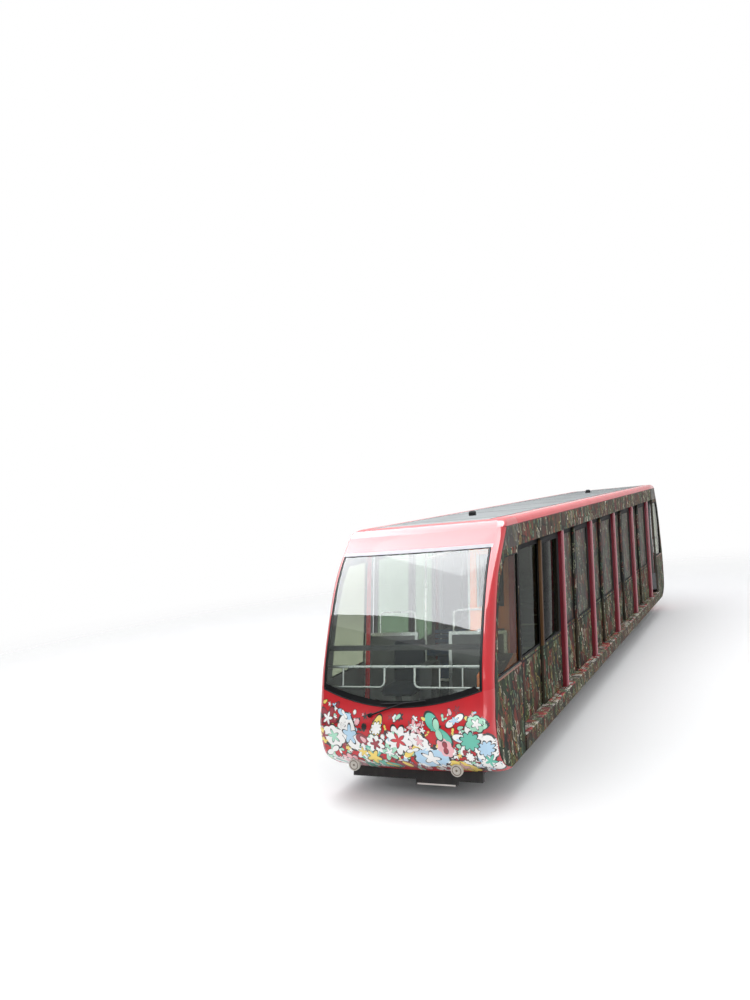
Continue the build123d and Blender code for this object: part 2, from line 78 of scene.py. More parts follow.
# Shader helpers. Colours are three numbers.
def newNode(tree, kind, inputs=None, **settings):
    made = tree.nodes.new("ShaderNode" + kind)
    for key, value in settings.items():
        setattr(made, key, value)
    for key, value in (inputs or {}).items():
        if isinstance(value, bpy.types.NodeSocket):
            tree.links.new(value, made.inputs[key])
        else:
            made.inputs[key].default_value = value
    return made


def maths(tree, operation, first, second=0.0, clamp=False):
    return newNode(tree, "Math", {0: first, 1: second}, operation=operation, use_clamp=clamp).outputs[0]


def product(tree, first, *factors):
    for factor in factors:
        first = maths(tree, "MULTIPLY", first, factor)
    return first


# A value's way from low to high becomes the way from start to finish
def spread(tree, value, low, high, start=0.0, finish=1.0, **settings):
    inputs = {0: value, 1: low, 2: high, 3: start, 4: finish}
    return newNode(tree, "MapRange", inputs, **settings).outputs[0]


def blendColour(tree, factor, first, second):
    first, second = ((*tone, 1) if isinstance(tone, tuple) else tone for tone in (first, second))
    return newNode(tree, "Mix", {0: factor, 6: first, 7: second}, data_type="RGBA").outputs[2]


# One of several colours, each for an equal share of the factor
def pickTone(tree, factor, tones):
    made = newNode(tree, "ValToRGB", {0: factor})
    made.color_ramp.interpolation = "CONSTANT"
    elements = made.color_ramp.elements
    while len(elements) < len(tones):
        elements.new(0.5)
    for index, (element, tone) in enumerate(zip(elements, tones)):
        element.position = index / len(tones)
        element.color = (*tone, 1)
    return made.outputs[0]


def newMaterial(name):
    material = bpy.data.materials.new(name)
    material.use_nodes = True
    tree = material.node_tree
    tree.nodes.clear()
    output = newNode(tree, "OutputMaterial")
    surface = newNode(tree, "BsdfPrincipled")
    tree.links.new(surface.outputs[0], output.inputs["Surface"])
    return material, tree, surface


# A shader group whose sockets are all numbers
def newGroup(name, inputs, outputs):
    group = bpy.data.node_groups.new(name, "ShaderNodeTree")
    for label, value in inputs.items():
        socket = group.interface.new_socket(label, in_out="INPUT", socket_type="NodeSocketFloat")
        socket.default_value = value
    for label in outputs:
        group.interface.new_socket(label, in_out="OUTPUT", socket_type="NodeSocketFloat")
    return group, group.nodes.new("NodeGroupInput").outputs, group.nodes.new("NodeGroupOutput")


def closeGroup(group, leave, **values):
    for label, value in values.items():
        group.links.new(value, leave.inputs[label])
    return group


# Grime in broad patches and upright runs, fine speckle and a fine surface height
grime = {"runs": (9.0, 9.0, 0.9), "runDetail": 4.0, "runRough": 0.6, "patches": (0.2, 0.42),
         "speckle": (0.58, 0.75), "swing": 0.5, "speckleRough": 0.08, "heightShare": 0.5}
grimeNoise = {"broad": (1.7, 5.0, 0.62), "fine": (46.0, 3.0, 0.7), "grain": (240.0, 2.0, 0.5)}


def makeSurfaceGroup():
    group, entry, leave = newGroup("surfaceWear", {"Scale": 1.0, "Rough": 0.4},
                                   ("Patches", "Speckle", "Roughness", "Height"))
    place = newNode(group, "TexCoord").outputs["Object"]
    noise = {}
    for name, (scale, detail, rough) in grimeNoise.items():
        inputs = {"Vector": place, "Scale": product(group, entry["Scale"], scale),
                  "Detail": detail, "Roughness": rough}
        noise[name] = newNode(group, "TexNoise", inputs).outputs["Fac"]
    stretched = newNode(group, "Mapping", {"Vector": place, "Scale": grime["runs"]}).outputs[0]
    inputs = {"Vector": stretched, "Scale": entry["Scale"], "Detail": grime["runDetail"],
              "Roughness": grime["runRough"]}
    runs = newNode(group, "TexNoise", inputs).outputs["Fac"]
    patches = spread(group, product(group, noise["broad"], runs), *grime["patches"])
    speckle = spread(group, noise["fine"], *grime["speckle"])
    swing = product(group, maths(group, "SUBTRACT", noise["broad"], 0.5), grime["swing"])
    rough = maths(group, "ADD", entry["Rough"], product(group, swing, entry["Rough"]), True)
    rough = maths(group, "ADD", rough, product(group, speckle, grime["speckleRough"]), True)
    shares = [product(group, noise[name], grime["heightShare"]) for name in ("grain", "fine")]
    return closeGroup(group, leave, Patches=patches, Speckle=speckle, Roughness=rough,
                      Height=maths(group, "ADD", *shares))


surfaceGroup = makeSurfaceGroup()


def wearOf(tree, scale, rough):
    return newNode(tree, "Group", {"Scale": scale, "Rough": rough}, node_tree=surfaceGroup).outputs


# What a look leaves out has the value given here
plainSockets = (("Metallic", "metal", 0.0), ("Coat Weight", "coat", 0.0),
                ("Coat Roughness", "coatRough", 0.04), ("Coat IOR", "coatIor", 1.5),
                ("Specular IOR Level", "gloss", 0.5))
bumpDepth = 0.002


def finishSurface(tree, surface, colour, wear, look):
    tree.links.new(colour, surface.inputs["Base Color"])
    tree.links.new(wear["Roughness"], surface.inputs["Roughness"])
    lift = newNode(tree, "Bump", {"Height": wear["Height"], "Strength": look["bump"], "Distance": bumpDepth})
    tree.links.new(lift.outputs[0], surface.inputs["Normal"])
    for socket, key, usual in plainSockets:
        surface.inputs[socket].default_value = look.get(key, usual)


# Where a point of the surface is on the car, and whether it faces in, up or along the car
sight = {"lengthwise": 0.3, "middleHeight": 1.9, "inner": -0.1, "reveal": 0.75, "up": 0.5}


def placeOf(tree):
    where = newNode(tree, "SeparateXYZ", {0: newNode(tree, "TexCoord").outputs["Object"]}).outputs
    facing = newNode(tree, "SeparateXYZ", {0: newNode(tree, "TexCoord").outputs["Normal"]}).outputs
    height = maths(tree, "SUBTRACT", where[2], car["flange"])
    station = maths(tree, "ADD", where[0], car["middle"])
    station = maths(tree, "SUBTRACT", station, product(tree, height, car["slope"]))
    fromEnd = maths(tree, "MINIMUM", station, maths(tree, "SUBTRACT", car["length"], station))
    across = product(tree, where[1], facing[1])
    lengthwise = product(tree, where[0], sight["lengthwise"], facing[0])
    upright = product(tree, maths(tree, "SUBTRACT", height, sight["middleHeight"]), facing[2])
    outward = maths(tree, "ADD", across, maths(tree, "ADD", lengthwise, upright))
    return {"height": height, "fromEnd": fromEnd, "up": facing[2],
            "offset": maths(tree, "ABSOLUTE", where[1]),
            "inner": maths(tree, "LESS_THAN", outward, sight["inner"]),
            "reveal": maths(tree, "GREATER_THAN", maths(tree, "ABSOLUTE", facing[0]), sight["reveal"]),
            "onTop": maths(tree, "GREATER_THAN", facing[2], sight["up"])}


# A painted, moulded or metal surface: base colour, the colour of its patches, the colour of its speckle
def plainFinish(name, look):
    material, tree, surface = newMaterial(name)
    wear = wearOf(tree, look.get("scale", 1.0), look["rough"])
    patches = product(tree, wear["Patches"], look.get("patchShare", 0.5))
    speckle = product(tree, wear["Speckle"], look.get("speckShare", 0.25))
    colour = blendColour(tree, patches, look["colour"], look["patch"])
    colour = blendColour(tree, speckle, colour, look["speck"])
    # Inward faces take the darker lining colour, painted shade of the inside of the car
    if "shadedLining" in look:
        place = placeOf(tree)
        inside = place["inner"]
        if look.get("plainEnds"):
            inside = product(tree, inside, maths(tree, "SUBTRACT", 1.0, place["reveal"]))
        colour = blendColour(tree, inside, colour, look["shadedLining"])
    finishSurface(tree, surface, colour, wear, look)
    if "glow" in look:
        tree.links.new(colour, surface.inputs["Emission Color"])
        surface.inputs["Emission Strength"].default_value = look["glow"]
    return material


# Columns: name, colour, colour of patches, colour of speckle, roughness, strength of bumps, and the rest. A
# lining is the colour of inward faces, darkened as painted shade of the inside of the car.
lookRows = (
    ("redPaint", (0.53, 0.008, 0.016), (0.4, 0.006, 0.014), (0.6, 0.06, 0.06), 0.35, 0.04, {"coat": 0.8,
     "coatIor": 1.45, "speckShare": 0.12, "gloss": 0.25, "shadedLining": (0.12, 0.12, 0.115)}),
    ("maroonPaint", (0.14, 0.006, 0.014), (0.09, 0.006, 0.01), (0.2, 0.05, 0.05), 0.35, 0.05, {"coat": 0.3,
     "gloss": 0.15, "shadedLining": (0.12, 0.12, 0.115), "plainEnds": True}),
    # The pillar caps' red, paler than the pillars' maroon, is a painted highlight down each pillar
    ("pillarCap", (0.3, 0.025, 0.05), (0.2, 0.016, 0.03), (0.4, 0.12, 0.14), 0.3, 0.05, {"coat": 0.8,
     "gloss": 0.3}),
    ("roofGrey", (0.15, 0.16, 0.16), (0.11, 0.12, 0.12), (0.22, 0.22, 0.22), 0.75, 0.15, {"patchShare": 0.8,
     "gloss": 0.08, "shadedLining": (0.3, 0.3, 0.29)}),
    ("blackFrame", (0.014, 0.014, 0.015), (0.05, 0.045, 0.04), (0.09, 0.08, 0.07), 0.5, 0.2,
     {"patchShare": 0.6}),
    ("blackRubber", (0.008, 0.008, 0.009), (0.018, 0.017, 0.016), (0.03, 0.03, 0.03), 0.65, 0.12,
     {"gloss": 0.08}),
    ("glossBlack", (0.008, 0.008, 0.009), (0.015, 0.015, 0.016), (0.03, 0.03, 0.03), 0.3, 0.02,
     {"gloss": 0.15}),
    ("steel", (0.62, 0.62, 0.6), (0.5, 0.5, 0.49), (0.75, 0.75, 0.74), 0.28, 0.05, {"metal": 1.0,
     "scale": 3.0}),
    ("wheelSteel", (0.2, 0.17, 0.15), (0.12, 0.07, 0.045), (0.3, 0.26, 0.22), 0.5, 0.25, {"metal": 0.7,
     "scale": 3.0, "patchShare": 0.8}),
    ("orangeCabinet", (0.95, 0.24, 0.045), (0.8, 0.18, 0.035), (0.6, 0.2, 0.1), 0.4, 0.08, {"coat": 0.3}),
    ("stripGrey", (0.3, 0.29, 0.31), (0.24, 0.23, 0.25), (0.4, 0.4, 0.4), 0.4, 0.05, {"gloss": 0.3}),
    ("ochreTrim", (0.1, 0.05, 0.02), (0.07, 0.035, 0.015), (0.16, 0.1, 0.05), 0.5, 0.08, {"gloss": 0.1}),
    ("seatCloth", (0.012, 0.014, 0.022), (0.008, 0.01, 0.014), (0.04, 0.04, 0.05), 0.85, 0.5, {"scale": 5.0,
     "gloss": 0.1, "speckShare": 0.5}),
    ("brownTrim", (0.2, 0.05, 0.02), (0.13, 0.035, 0.015), (0.3, 0.12, 0.06), 0.45, 0.08, {}),
    ("floorCover", (0.05, 0.05, 0.053), (0.035, 0.035, 0.037), (0.2, 0.2, 0.21), 0.75, 0.4, {"scale": 4.0,
     "speckShare": 0.6}),
    ("seatShell", (0.05, 0.08, 0.17), (0.035, 0.055, 0.12), (0.12, 0.15, 0.24), 0.55, 0.1, {"scale": 3.0}),
    ("paleBuffer", (0.5, 0.47, 0.42), (0.33, 0.3, 0.26), (0.62, 0.6, 0.55), 0.6, 0.3, {"scale": 6.0,
     "patchShare": 0.8}),
    ("lampGlass", (0.8, 0.78, 0.72), (0.7, 0.68, 0.62), (0.8, 0.8, 0.76), 0.4, 0.04, {"glow": 5.0}),
    ("paleTrim", (0.62, 0.6, 0.57), (0.47, 0.44, 0.4), (0.7, 0.68, 0.65), 0.45, 0.08, {"scale": 2.0}),
)
looks = {}
for name, colour, patch, speck, rough, bump, more in lookRows:
    looks[name] = {"colour": colour, "patch": patch, "speck": speck, "rough": rough, "bump": bump, **more}
paints = {name: plainFinish(name, look) for name, look in looks.items()}

# Flame-like upright strokes of muted colours over dark patches
pattern = {"bendScale": 5.0, "bendDetail": 3.0, "strokeCells": (17.0, 17.0, 5.5),
           "patchCells": (6.5, 6.5, 3.6), "near": (0.07, 0.1), "far": (0.17, 0.2, 1.0, 0.0), "kept": 0.35,
           "border": (0.03, 0.05, 1.0, 0.0)}


def makeStrokeGroup():
    group, entry, leave = newGroup("strokePattern", {"Scale": 1.0, "Warp": 0.1},
                                   ("Patch", "Pick", "Stroke", "Ink"))
    place = newNode(group, "TexCoord").outputs["Object"]
    inputs = {"Vector": place, "Scale": pattern["bendScale"], "Detail": pattern["bendDetail"]}
    bent = newNode(group, "TexNoise", inputs).outputs["Color"]
    shift = newNode(group, "VectorMath", {0: bent, "Scale": entry["Warp"]}, operation="SCALE").outputs[0]
    place = newNode(group, "VectorMath", {0: place, 1: shift}, operation="ADD").outputs[0]
    tones, edges = {}, {}
    for cells in ("strokeCells", "patchCells"):
        stretched = newNode(group, "Mapping", {"Vector": place, "Scale": pattern[cells]}).outputs[0]
        inputs = {"Vector": stretched, "Scale": entry["Scale"]}
        tone = newNode(group, "TexVoronoi", inputs).outputs["Color"]
        tones[cells] = newNode(group, "SeparateColor", {0: tone}).outputs
        edge = newNode(group, "TexVoronoi", inputs, feature="DISTANCE_TO_EDGE")
        edges[cells] = edge.outputs["Distance"]
    near, far = (spread(group, edges["strokeCells"], *pattern[key]) for key in ("near", "far"))
    kept = maths(group, "GREATER_THAN", tones["strokeCells"][1], pattern["kept"])
    return closeGroup(group, leave, Patch=tones["patchCells"][0], Pick=tones["strokeCells"][0],
                      Stroke=product(group, near, far, kept),
                      Ink=spread(group, edges["patchCells"], *pattern["border"]))


strokeGroup = makeStrokeGroup()
mutedPatches = ((0.035, 0.03, 0.012), (0.075, 0.018, 0.012), (0.014, 0.026, 0.012), (0.05, 0.036, 0.016),
                (0.1, 0.022, 0.014), (0.028, 0.034, 0.01), (0.01, 0.011, 0.009), (0.02, 0.034, 0.02))
brownPatches = ((0.06, 0.028, 0.016), (0.09, 0.024, 0.018), (0.035, 0.028, 0.014), (0.05, 0.02, 0.014),
                (0.075, 0.034, 0.02), (0.024, 0.02, 0.012), (0.04, 0.034, 0.02))
sillPatches = ((0.36, 0.33, 0.3), (0.24, 0.016, 0.02), (0.04, 0.035, 0.03), (0.44, 0.41, 0.37),
               (0.13, 0.02, 0.02), (0.06, 0.06, 0.03))
paleLines = ((0.32, 0.36, 0.22), (0.26, 0.04, 0.025), (0.14, 0.2, 0.08), (0.5, 0.47, 0.36),
             (0.24, 0.19, 0.05), (0.012, 0.012, 0.01), (0.1, 0.18, 0.12))
# Colour of inward faces: a grey lining darkened as painted shade of the inside of the car
shellShadedLining = (0.12, 0.12, 0.115)
blackTrim = (0.008, 0.008, 0.009)
# Faces along the car on wrapped panels, the sides of openings and recesses: dark brown as painted shade
revealShadeBrown = (0.035, 0.028, 0.018)
printInk = (0.008, 0.008, 0.007)
printGrime = (0.03, 0.024, 0.016)
printGrimeShare = 0.4


# The printed film's colour: dark patches, black borders between them and paler strokes over them
def wrapColour(tree, wear, look):
    inputs = {"Scale": look["scale"], "Warp": look["warp"]}
    strokes = newNode(tree, "Group", inputs, node_tree=strokeGroup).outputs
    colour = blendColour(tree, strokes["Ink"], pickTone(tree, strokes["Patch"], look["patches"]), printInk)
    colour = blendColour(tree, strokes["Stroke"], colour, pickTone(tree, strokes["Pick"], paleLines))
    dirty = product(tree, wear["Patches"], printGrimeShare)
    return blendColour(tree, dirty, colour, printGrime)


# A wrapped panel. It can turn red or black above a height. Its inner faces are a dark lining, painted shade
# of the inside, and its faces along the car a dark brown, painted shade in the recesses; or else its upward
# faces have another set of patches.
def makeWrap(name, look):
    material, tree, surface = newMaterial(name)
    wear = wearOf(tree, 1.0, look["rough"])
    colour = wrapColour(tree, wear, look)
    place = placeOf(tree)
    for bound, tone in (("redAbove", looks["redPaint"]["colour"]), ("blackAbove", blackTrim)):
        if bound in look:
            above = maths(tree, "GREATER_THAN", place["height"], look[bound])
            colour = blendColour(tree, above, colour, tone)
    if "topPatches" in look:
        top = wrapColour(tree, wear, {**look, "patches": look["topPatches"]})
        colour = blendColour(tree, place["onTop"], colour, top)
    else:
        colour = blendColour(tree, place["inner"], colour, shellShadedLining)
        # Faces along the car turn dark brown: painted shade in the recesses
        colour = blendColour(tree, place["reveal"], colour, revealShadeBrown)
    finishSurface(tree, surface, colour, wear, look)
    if "redAbove" in look:
        tree.links.new(product(tree, above, look["redCoat"]), surface.inputs["Coat Weight"])
    return material


# The end frame: red posts and brow, wrapped side faces behind the posts, the roof's grey reaching forward
def makeCrown(name, look):
    material, tree, surface = newMaterial(name)
    wear = wearOf(tree, 1.0, look["rough"])
    place = placeOf(tree)
    patches = product(tree, wear["Patches"], look["patchShare"])
    red = blendColour(tree, patches, looks["redPaint"]["colour"], looks["redPaint"]["patch"])
    wrapped = blendColour(tree, look["shade"], wrapColour(tree, wear, look), blackTrim)
    postLine = product(tree, place["height"], look["postLean"])
    postLine = maths(tree, "ADD", postLine, look["postStart"])
    onSide = product(tree, maths(tree, "GREATER_THAN", place["offset"], look["sideFrom"]),
                     maths(tree, "LESS_THAN", place["height"], look["redAbove"]),
                     maths(tree, "GREATER_THAN", place["height"], look["sideLow"]),
                     maths(tree, "GREATER_THAN", place["fromEnd"], postLine))
    onRoof = product(tree, maths(tree, "LESS_THAN", place["offset"], look["roofHalf"]),
                     maths(tree, "GREATER_THAN", place["fromEnd"], look["roofFrom"]), place["onTop"])
    colour = blendColour(tree, onSide, red, wrapped)
    colour = blendColour(tree, onRoof, colour, looks["roofGrey"]["colour"])
    # Inward faces take the dark lining, painted shade of the inside of the car
    colour = blendColour(tree, place["inner"], colour, shellShadedLining)
    finishSurface(tree, surface, colour, wear, look)
    painted = maths(tree, "SUBTRACT", 1.0, maths(tree, "MAXIMUM", onSide, onRoof))
    coat = product(tree, painted, spread(tree, place["up"], *look["tilt"]))
    tree.links.new(coat, surface.inputs["Coat Weight"])
    return material


printLook = {"rough": 0.6, "scale": 1.0, "warp": 0.14, "gloss": 0.1, "bump": 0.05, "patches": mutedPatches}
redTop = {"redAbove": 3.276, "redCoat": 0.6}
topLook = {"patches": brownPatches, "scale": 0.85}
wraps = {"sideWrap": redTop, "topWrap": {**redTop, **topLook},
         "bayWrap": {"gloss": 0.08, "blackAbove": 1.41},
         "sillWrap": {"scale": 1.3, "warp": 0.2, "patches": brownPatches, "topPatches": sillPatches}}
for name, look in wraps.items():
    paints[name] = makeWrap(name, {**printLook, **look})
# Tilt is how far up a face looks, from and to, and the strength of the coat at both
paints["crownPaint"] = makeCrown("crownPaint", {
    **printLook, **topLook, "rough": looks["redPaint"]["rough"], "patchShare": 0.5, "shade": 0.5,
    "redAbove": redTop["redAbove"], "postLean": 0.77, "postStart": -1.94, "sideFrom": 1.1,
    "sideLow": car["cantrail"] - 0.002, "roofHalf": 0.9, "roofFrom": 0.63, "tilt": (0.75, 0.92, 0.85, 0.2),
    "coatIor": 1.45, "bump": 0.04})


# The print goes on over the outside of the panes, darker, on a film that lets no view in
def makeWindowFilm(name, look):
    material, tree, surface = newMaterial(name)
    wear = wearOf(tree, 1.0, look["rough"])
    colour = blendColour(tree, look["shade"], wrapColour(tree, wear, look), blackTrim)
    finishSurface(tree, surface, colour, wear, look)
    return material


paints["windowFilm"] = makeWindowFilm("windowFilm", {**printLook, "rough": 0.5, "shade": 0.35, "bump": 0.03,
                                                     "gloss": 0.2})

# Clear or tinted glass with a faint film of dust. Tints are the cabs' and the saloon's.
dust = {"scale": 0.6, "share": 0.1, "tone": (0.02, 0.02, 0.02)}
glasses = {"frontGlass": {"tint": (0.86, 0.92, 0.9), "cabTint": (0.86, 0.92, 0.9), "rough": 0.01,
                          "density": 1.5},
           "sideGlass": {"tint": (0.12, 0.19, 0.11), "cabTint": (0.27, 0.29, 0.2), "rough": 0.02,
                         "density": 1.09}}


def makeGlass(name, look):
    material, tree, surface = newMaterial(name)
    patches = wearOf(tree, dust["scale"], look["rough"])["Patches"]
    inCab = maths(tree, "LESS_THAN", placeOf(tree)["fromEnd"], car["seam"])
    colour = blendColour(tree, inCab, look["tint"], look["cabTint"])
    colour = blendColour(tree, product(tree, patches, dust["share"]), colour, dust["tone"])
    tree.links.new(colour, surface.inputs["Base Color"])
    tree.links.new(product(tree, patches, look["rough"]), surface.inputs["Roughness"])
    surface.inputs["Transmission Weight"].default_value = 1.0
    surface.inputs["IOR"].default_value = look["density"]
    surface.inputs["Metallic"].default_value = 0.0
    return material


for name, look in glasses.items():
    paints[name] = makeGlass(name, look)

# Woven mesh of the cab screens: bright wires over dark gaps
meshLook = {"scale": 3.0, "rough": 0.35, "halfPitch": 0.004, "wire": (0.0012, 0.0018, 1.0, 0.0),
            "gapTone": (0.006, 0.006, 0.006), "wireTone": (0.12, 0.12, 0.115)}


def makeMeshPanel(name, look):
    material, tree, surface = newMaterial(name)
    wear = wearOf(tree, look["scale"], look["rough"])
    place = newNode(tree, "SeparateXYZ", {0: newNode(tree, "TexCoord").outputs["Object"]}).outputs
    waves = [maths(tree, "PINGPONG", place[axis], look["halfPitch"]) for axis in (1, 2)]
    wires = maths(tree, "MAXIMUM", *(spread(tree, wave, *look["wire"]) for wave in waves))
    tree.links.new(blendColour(tree, wires, look["gapTone"], look["wireTone"]), surface.inputs["Base Color"])
    tree.links.new(wear["Roughness"], surface.inputs["Roughness"])
    return material


paints["screenMesh"] = makeMeshPanel("screenMesh", meshLook)

# Finishes of the CAD nodes, by the start of their names
nodeFinish = {
    "seatShell": "bench_seats", "paleBuffer": "buffers", "orangeCabinet": "driver_desk",
    "floorCover": "floor", "redPaint": "nose", "maroonPaint": "pillars", "roofGrey": "roof_panel",
    "wheelSteel": "wheelset", "sideWrap": "cab_side", "topWrap": "cantrail", "crownPaint": "end_frame",
    "sillWrap": "sill", "sideGlass": "side_glass", "frontGlass": "windscreen",
    "bayWrap": ("door_", "side_panels"), "steel": ("cab_screens", "grab_rails", "guard_rail"),
    "blackRubber": ("roof_domes", "wiper"),
    "blackFrame": ("bogie_frame", "cab_bar", "deflector", "equipment_boxes", "rail_brakes", "rope_socket",
                   "underframe"),
}
for name, made in nodes.items():
    finish = next(finish for finish, starts in nodeFinish.items() if name.startswith(starts))
    made.data.materials.clear()
    made.data.materials.append(paints[finish])

print("materials done")


# Mesh helpers. Rays start this far from the middle of the car, out to the side or out along it.
farOut = {"side": 1.5, "end": 9.5}
weld = 0.00001
leafBevel = 0.003


def meshOf(name, bm):
    mesh = bpy.data.meshes.new(name)
    bm.to_mesh(mesh)
    bm.free()
    return mesh


def newObject(name, data):
    made = bpy.data.objects.new(name, data)
    bpy.context.collection.objects.link(made)
    return made


# A finished piece rides on a body and takes its material
def piece(name, bm, finish, body="car_body", sharp=40):
    bmesh.ops.recalc_face_normals(bm, faces=bm.faces)
    mesh = meshOf(name, bm)
    mesh.materials.append(paints[finish])
    mesh.shade_smooth()
    mesh.set_sharp_from_angle(angle=radians(sharp))
    made = newObject(name, mesh)
    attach(made, body)
    return made


# A part made as station, offset and height joins a mesh that stands on the rails
leanMatrix = Matrix(((1, 0, car["slope"], -car["middle"]), (0, 1, 0, 0), (0, 0, 1, car["flange"]),
                     (0, 0, 0, 1)))


def absorb(bm, part, matrix=leanMatrix):
    bmesh.ops.transform(part, matrix=matrix, verts=part.verts)
    mesh = meshOf("part", part)
    bm.from_mesh(mesh)
    bpy.data.meshes.remove(mesh)


def roundEdges(bm, edges, width, segments=2):
    bmesh.ops.bevel(bm, geom=edges, offset=width, segments=segments, profile=0.5, affect="EDGES",
                    material=-1)


# A box as a part of its own, from its limits along, across and up
def boxPart(start, finish, near, far, low, high):
    part = bmesh.new()
    bmesh.ops.create_cube(part, size=1.0)
    bmesh.ops.scale(part, vec=(finish - start, far - near, high - low), verts=part.verts)
    middle = ((start + finish) / 2, (near + far) / 2, (low + high) / 2)
    bmesh.ops.translate(part, vec=middle, verts=part.verts)
    return part


# A part turned about an axis. The outline is radius and distance along the axis.
def addTurned(bm, outline, centre, axis, steps=24, closed=False):
    part = bmesh.new()
    verts = [part.verts.new((radius, 0, reach)) for radius, reach in outline]
    edges = [part.edges.new(pair) for pair in zip(verts, verts[1:])]
    if closed:
        edges.append(part.edges.new((verts[-1], verts[0])))
    bmesh.ops.spin(part, geom=verts + edges, cent=(0, 0, 0), axis=(0, 0, 1), angle=2 * pi, steps=steps,
                   use_merge=True, use_duplicate=False)
    bmesh.ops.remove_doubles(part, verts=part.verts, dist=weld)
    turn = Vector(axis).to_track_quat("Z", "Y").to_matrix().to_4x4()
    absorb(bm, part, Matrix.Translation(centre) @ turn)


# A flat rubber ring with rounded corners round a pane. Corners are stations and heights.
def addSeal(bm, corners, side, near, far, width, rounding):
    part = bmesh.new()
    part.faces.new([part.verts.new((station, side * near, height)) for station, height in corners])
    bmesh.ops.bevel(part, geom=part.verts[:], offset=rounding, segments=4, profile=0.5, affect="VERTICES",
                    material=-1)
    hub = part.faces[:]
    bmesh.ops.inset_individual(part, faces=hub, thickness=width, use_even_offset=True)
    bmesh.ops.delete(part, geom=hub, context="FACES_ONLY")
    raised = bmesh.ops.extrude_face_region(part, geom=part.faces[:], use_keep_orig=True)["geom"]
    raised = [item for item in raised if isinstance(item, bmesh.types.BMVert)]
    bmesh.ops.translate(part, vec=(0, side * (far - near), 0), verts=raised)
    absorb(bm, part)


def addPaneSeal(bm, start, end, low, high, *rest):
    addSeal(bm, ((start, low), (end, low), (end, high), (start, high)), *rest)


# A door leaf: one slab, cut at the belt, its upper field opened for the pane
def addLeaf(bm, start, end, low, high, cut, rail, near, far, side):
    part = boxPart(start, end, *sideSpan(side, near, far), low, high)
    part.normal_update()
    bmesh.ops.bisect_plane(part, geom=part.verts[:] + part.edges[:] + part.faces[:], plane_co=(0, 0, cut),
                           plane_no=(0, 0, 1))
    panes = [face for face in part.faces if abs(face.normal.y) > 0.9 and face.calc_center_median().z > cut]
    bmesh.ops.inset_individual(part, faces=panes, thickness=rail, use_even_offset=True)
    rims = [edge for face in panes for edge in face.edges]
    bmesh.ops.delete(part, geom=panes, context="FACES_ONLY")
    bmesh.ops.bridge_loops(part, edges=rims)
    roundEdges(part, [edge for edge in part.edges if edge.calc_face_angle(0) > 0.5], leafBevel)
    absorb(bm, part)


# A flat sheet parallel to a side, which may be dropped onto a surface or bulge outward
def addSheet(bm, start, end, low, high, placeVert, columns=1, rows=1, matrix=leanMatrix):
    part = bmesh.new()
    bmesh.ops.create_grid(part, x_segments=columns, y_segments=rows, size=0.5)
    for vert in part.verts:
        station = between(start, end, vert.co.x + 0.5)
        vert.co = placeVert(station, between(low, high, vert.co.y + 0.5), 2 * vert.co.x)
    absorb(bm, part, matrix)


def addFilm(bm, start, end, low, high, face, side):
    def onFace(station, height, share):
        return Vector((station, side * face, height))

    addSheet(bm, start, end, low, high, onFace)


# A thin patch laid on a side surface
def layPatch(bm, tree, end, side, patch):
    def drop(station, height, share):
        hit = tree.ray_cast(spot(station, farOut["side"] * side, height), Vector((0, -side, 0)))[0]
        return hit + Vector((0, side * patch["lift"], 0))

    start, finish = (endStation(patch[key], end) for key in ("start", "end"))
    addSheet(bm, start, finish, patch["low"], patch["high"], drop, patch["columns"], patch["rows"], Matrix())


# A block with rounded edges, from its limits along the rails, up and across
def addBlock(bm, start, end, low, high, near, far, bevel):
    verts = bmesh.ops.create_cube(bm, size=1.0)["verts"]
    for vert in verts:
        along, across, up = (value + 0.5 for value in vert.co)
        vert.co = spot(between(start, end, along), between(near, far, across), between(low, high, up))
    roundEdges(bm, list({edge for vert in verts for edge in vert.link_edges}), bevel)


# Rows of points joined by quads
def bridgeRows(bm, first, second, closed=True):
    for step in range(len(first) if closed else len(first) - 1):
        follow = (step + 1) % len(first)
        bm.faces.new((first[step], first[follow], second[follow], second[step]))


# A round tube through points
def addTube(bm, points, radius, sides, closed=False):
    count = len(points)
    rings = []
    for index, point in enumerate(points):
        if closed:
            before, after = points[index - 1], points[(index + 1) % count]
        else:
            before, after = points[max(index - 1, 0)], points[min(index + 1, count - 1)]
        turn = (after - before).to_track_quat("Z", "Y").to_matrix().to_4x4()
        rings.append(bmesh.ops.create_circle(bm, segments=sides, radius=radius,
                                             matrix=Matrix.Translation(point) @ turn)["verts"])
    for index in range(count if closed else count - 1):
        bridgeRows(bm, rings[index], rings[(index + 1) % count])
    if not closed:
        bm.faces.new(rings[0])
        bm.faces.new(rings[-1])


# Surfaces of the CAD to lay things on
def surfaceOf(*names):
    bm = bmesh.new()
    for name in names:
        bm.from_mesh(nodes[name].data)
    tree = BVHTree.FromBMesh(bm)
    bm.free()
    return tree


# Where a line along the car meets an end, or else the nearest point of it
def frontHit(tree, offset, height, end):
    start = Vector((-farOut["end"] * end, offset, height + car["flange"]))
    hit = tree.ray_cast(start, Vector((end, 0, 0)))
    return hit if hit[0] is not None else tree.find_nearest(start + Vector((2.0 * end, 0, 0)))


def skinPoint(tree, end, place, lift):
    hit, normal = frontHit(tree, *place, end)[:2]
    return hit + normal * lift


# Windscreen surround: a printed black border, a grey strip over it and a rubber bead along it.
# Borders are how far the print reaches in at the sides, at the top and at the foot.
screen = {"waist": 1.42, "smile": 1.24, "top": 3.05, "halfTop": 1.075, "halfLow": 1.085, "steps": 200,
          "border": (0.028, 0.006, 0.075), "borderLift": 0.0008, "strip": 0.045, "stripOver": 0.02,
          "stripGap": 0.001, "stripLift": 0.0012, "stripColumns": 60, "bead": 0.007, "beadSides": 8,
          "beadInset": 0.002, "beadLift": 0.001}
# Shares of the border's length at which it turns: after the first side, the top and the second side
screenTurns = (0.3, 0.5, 0.8)


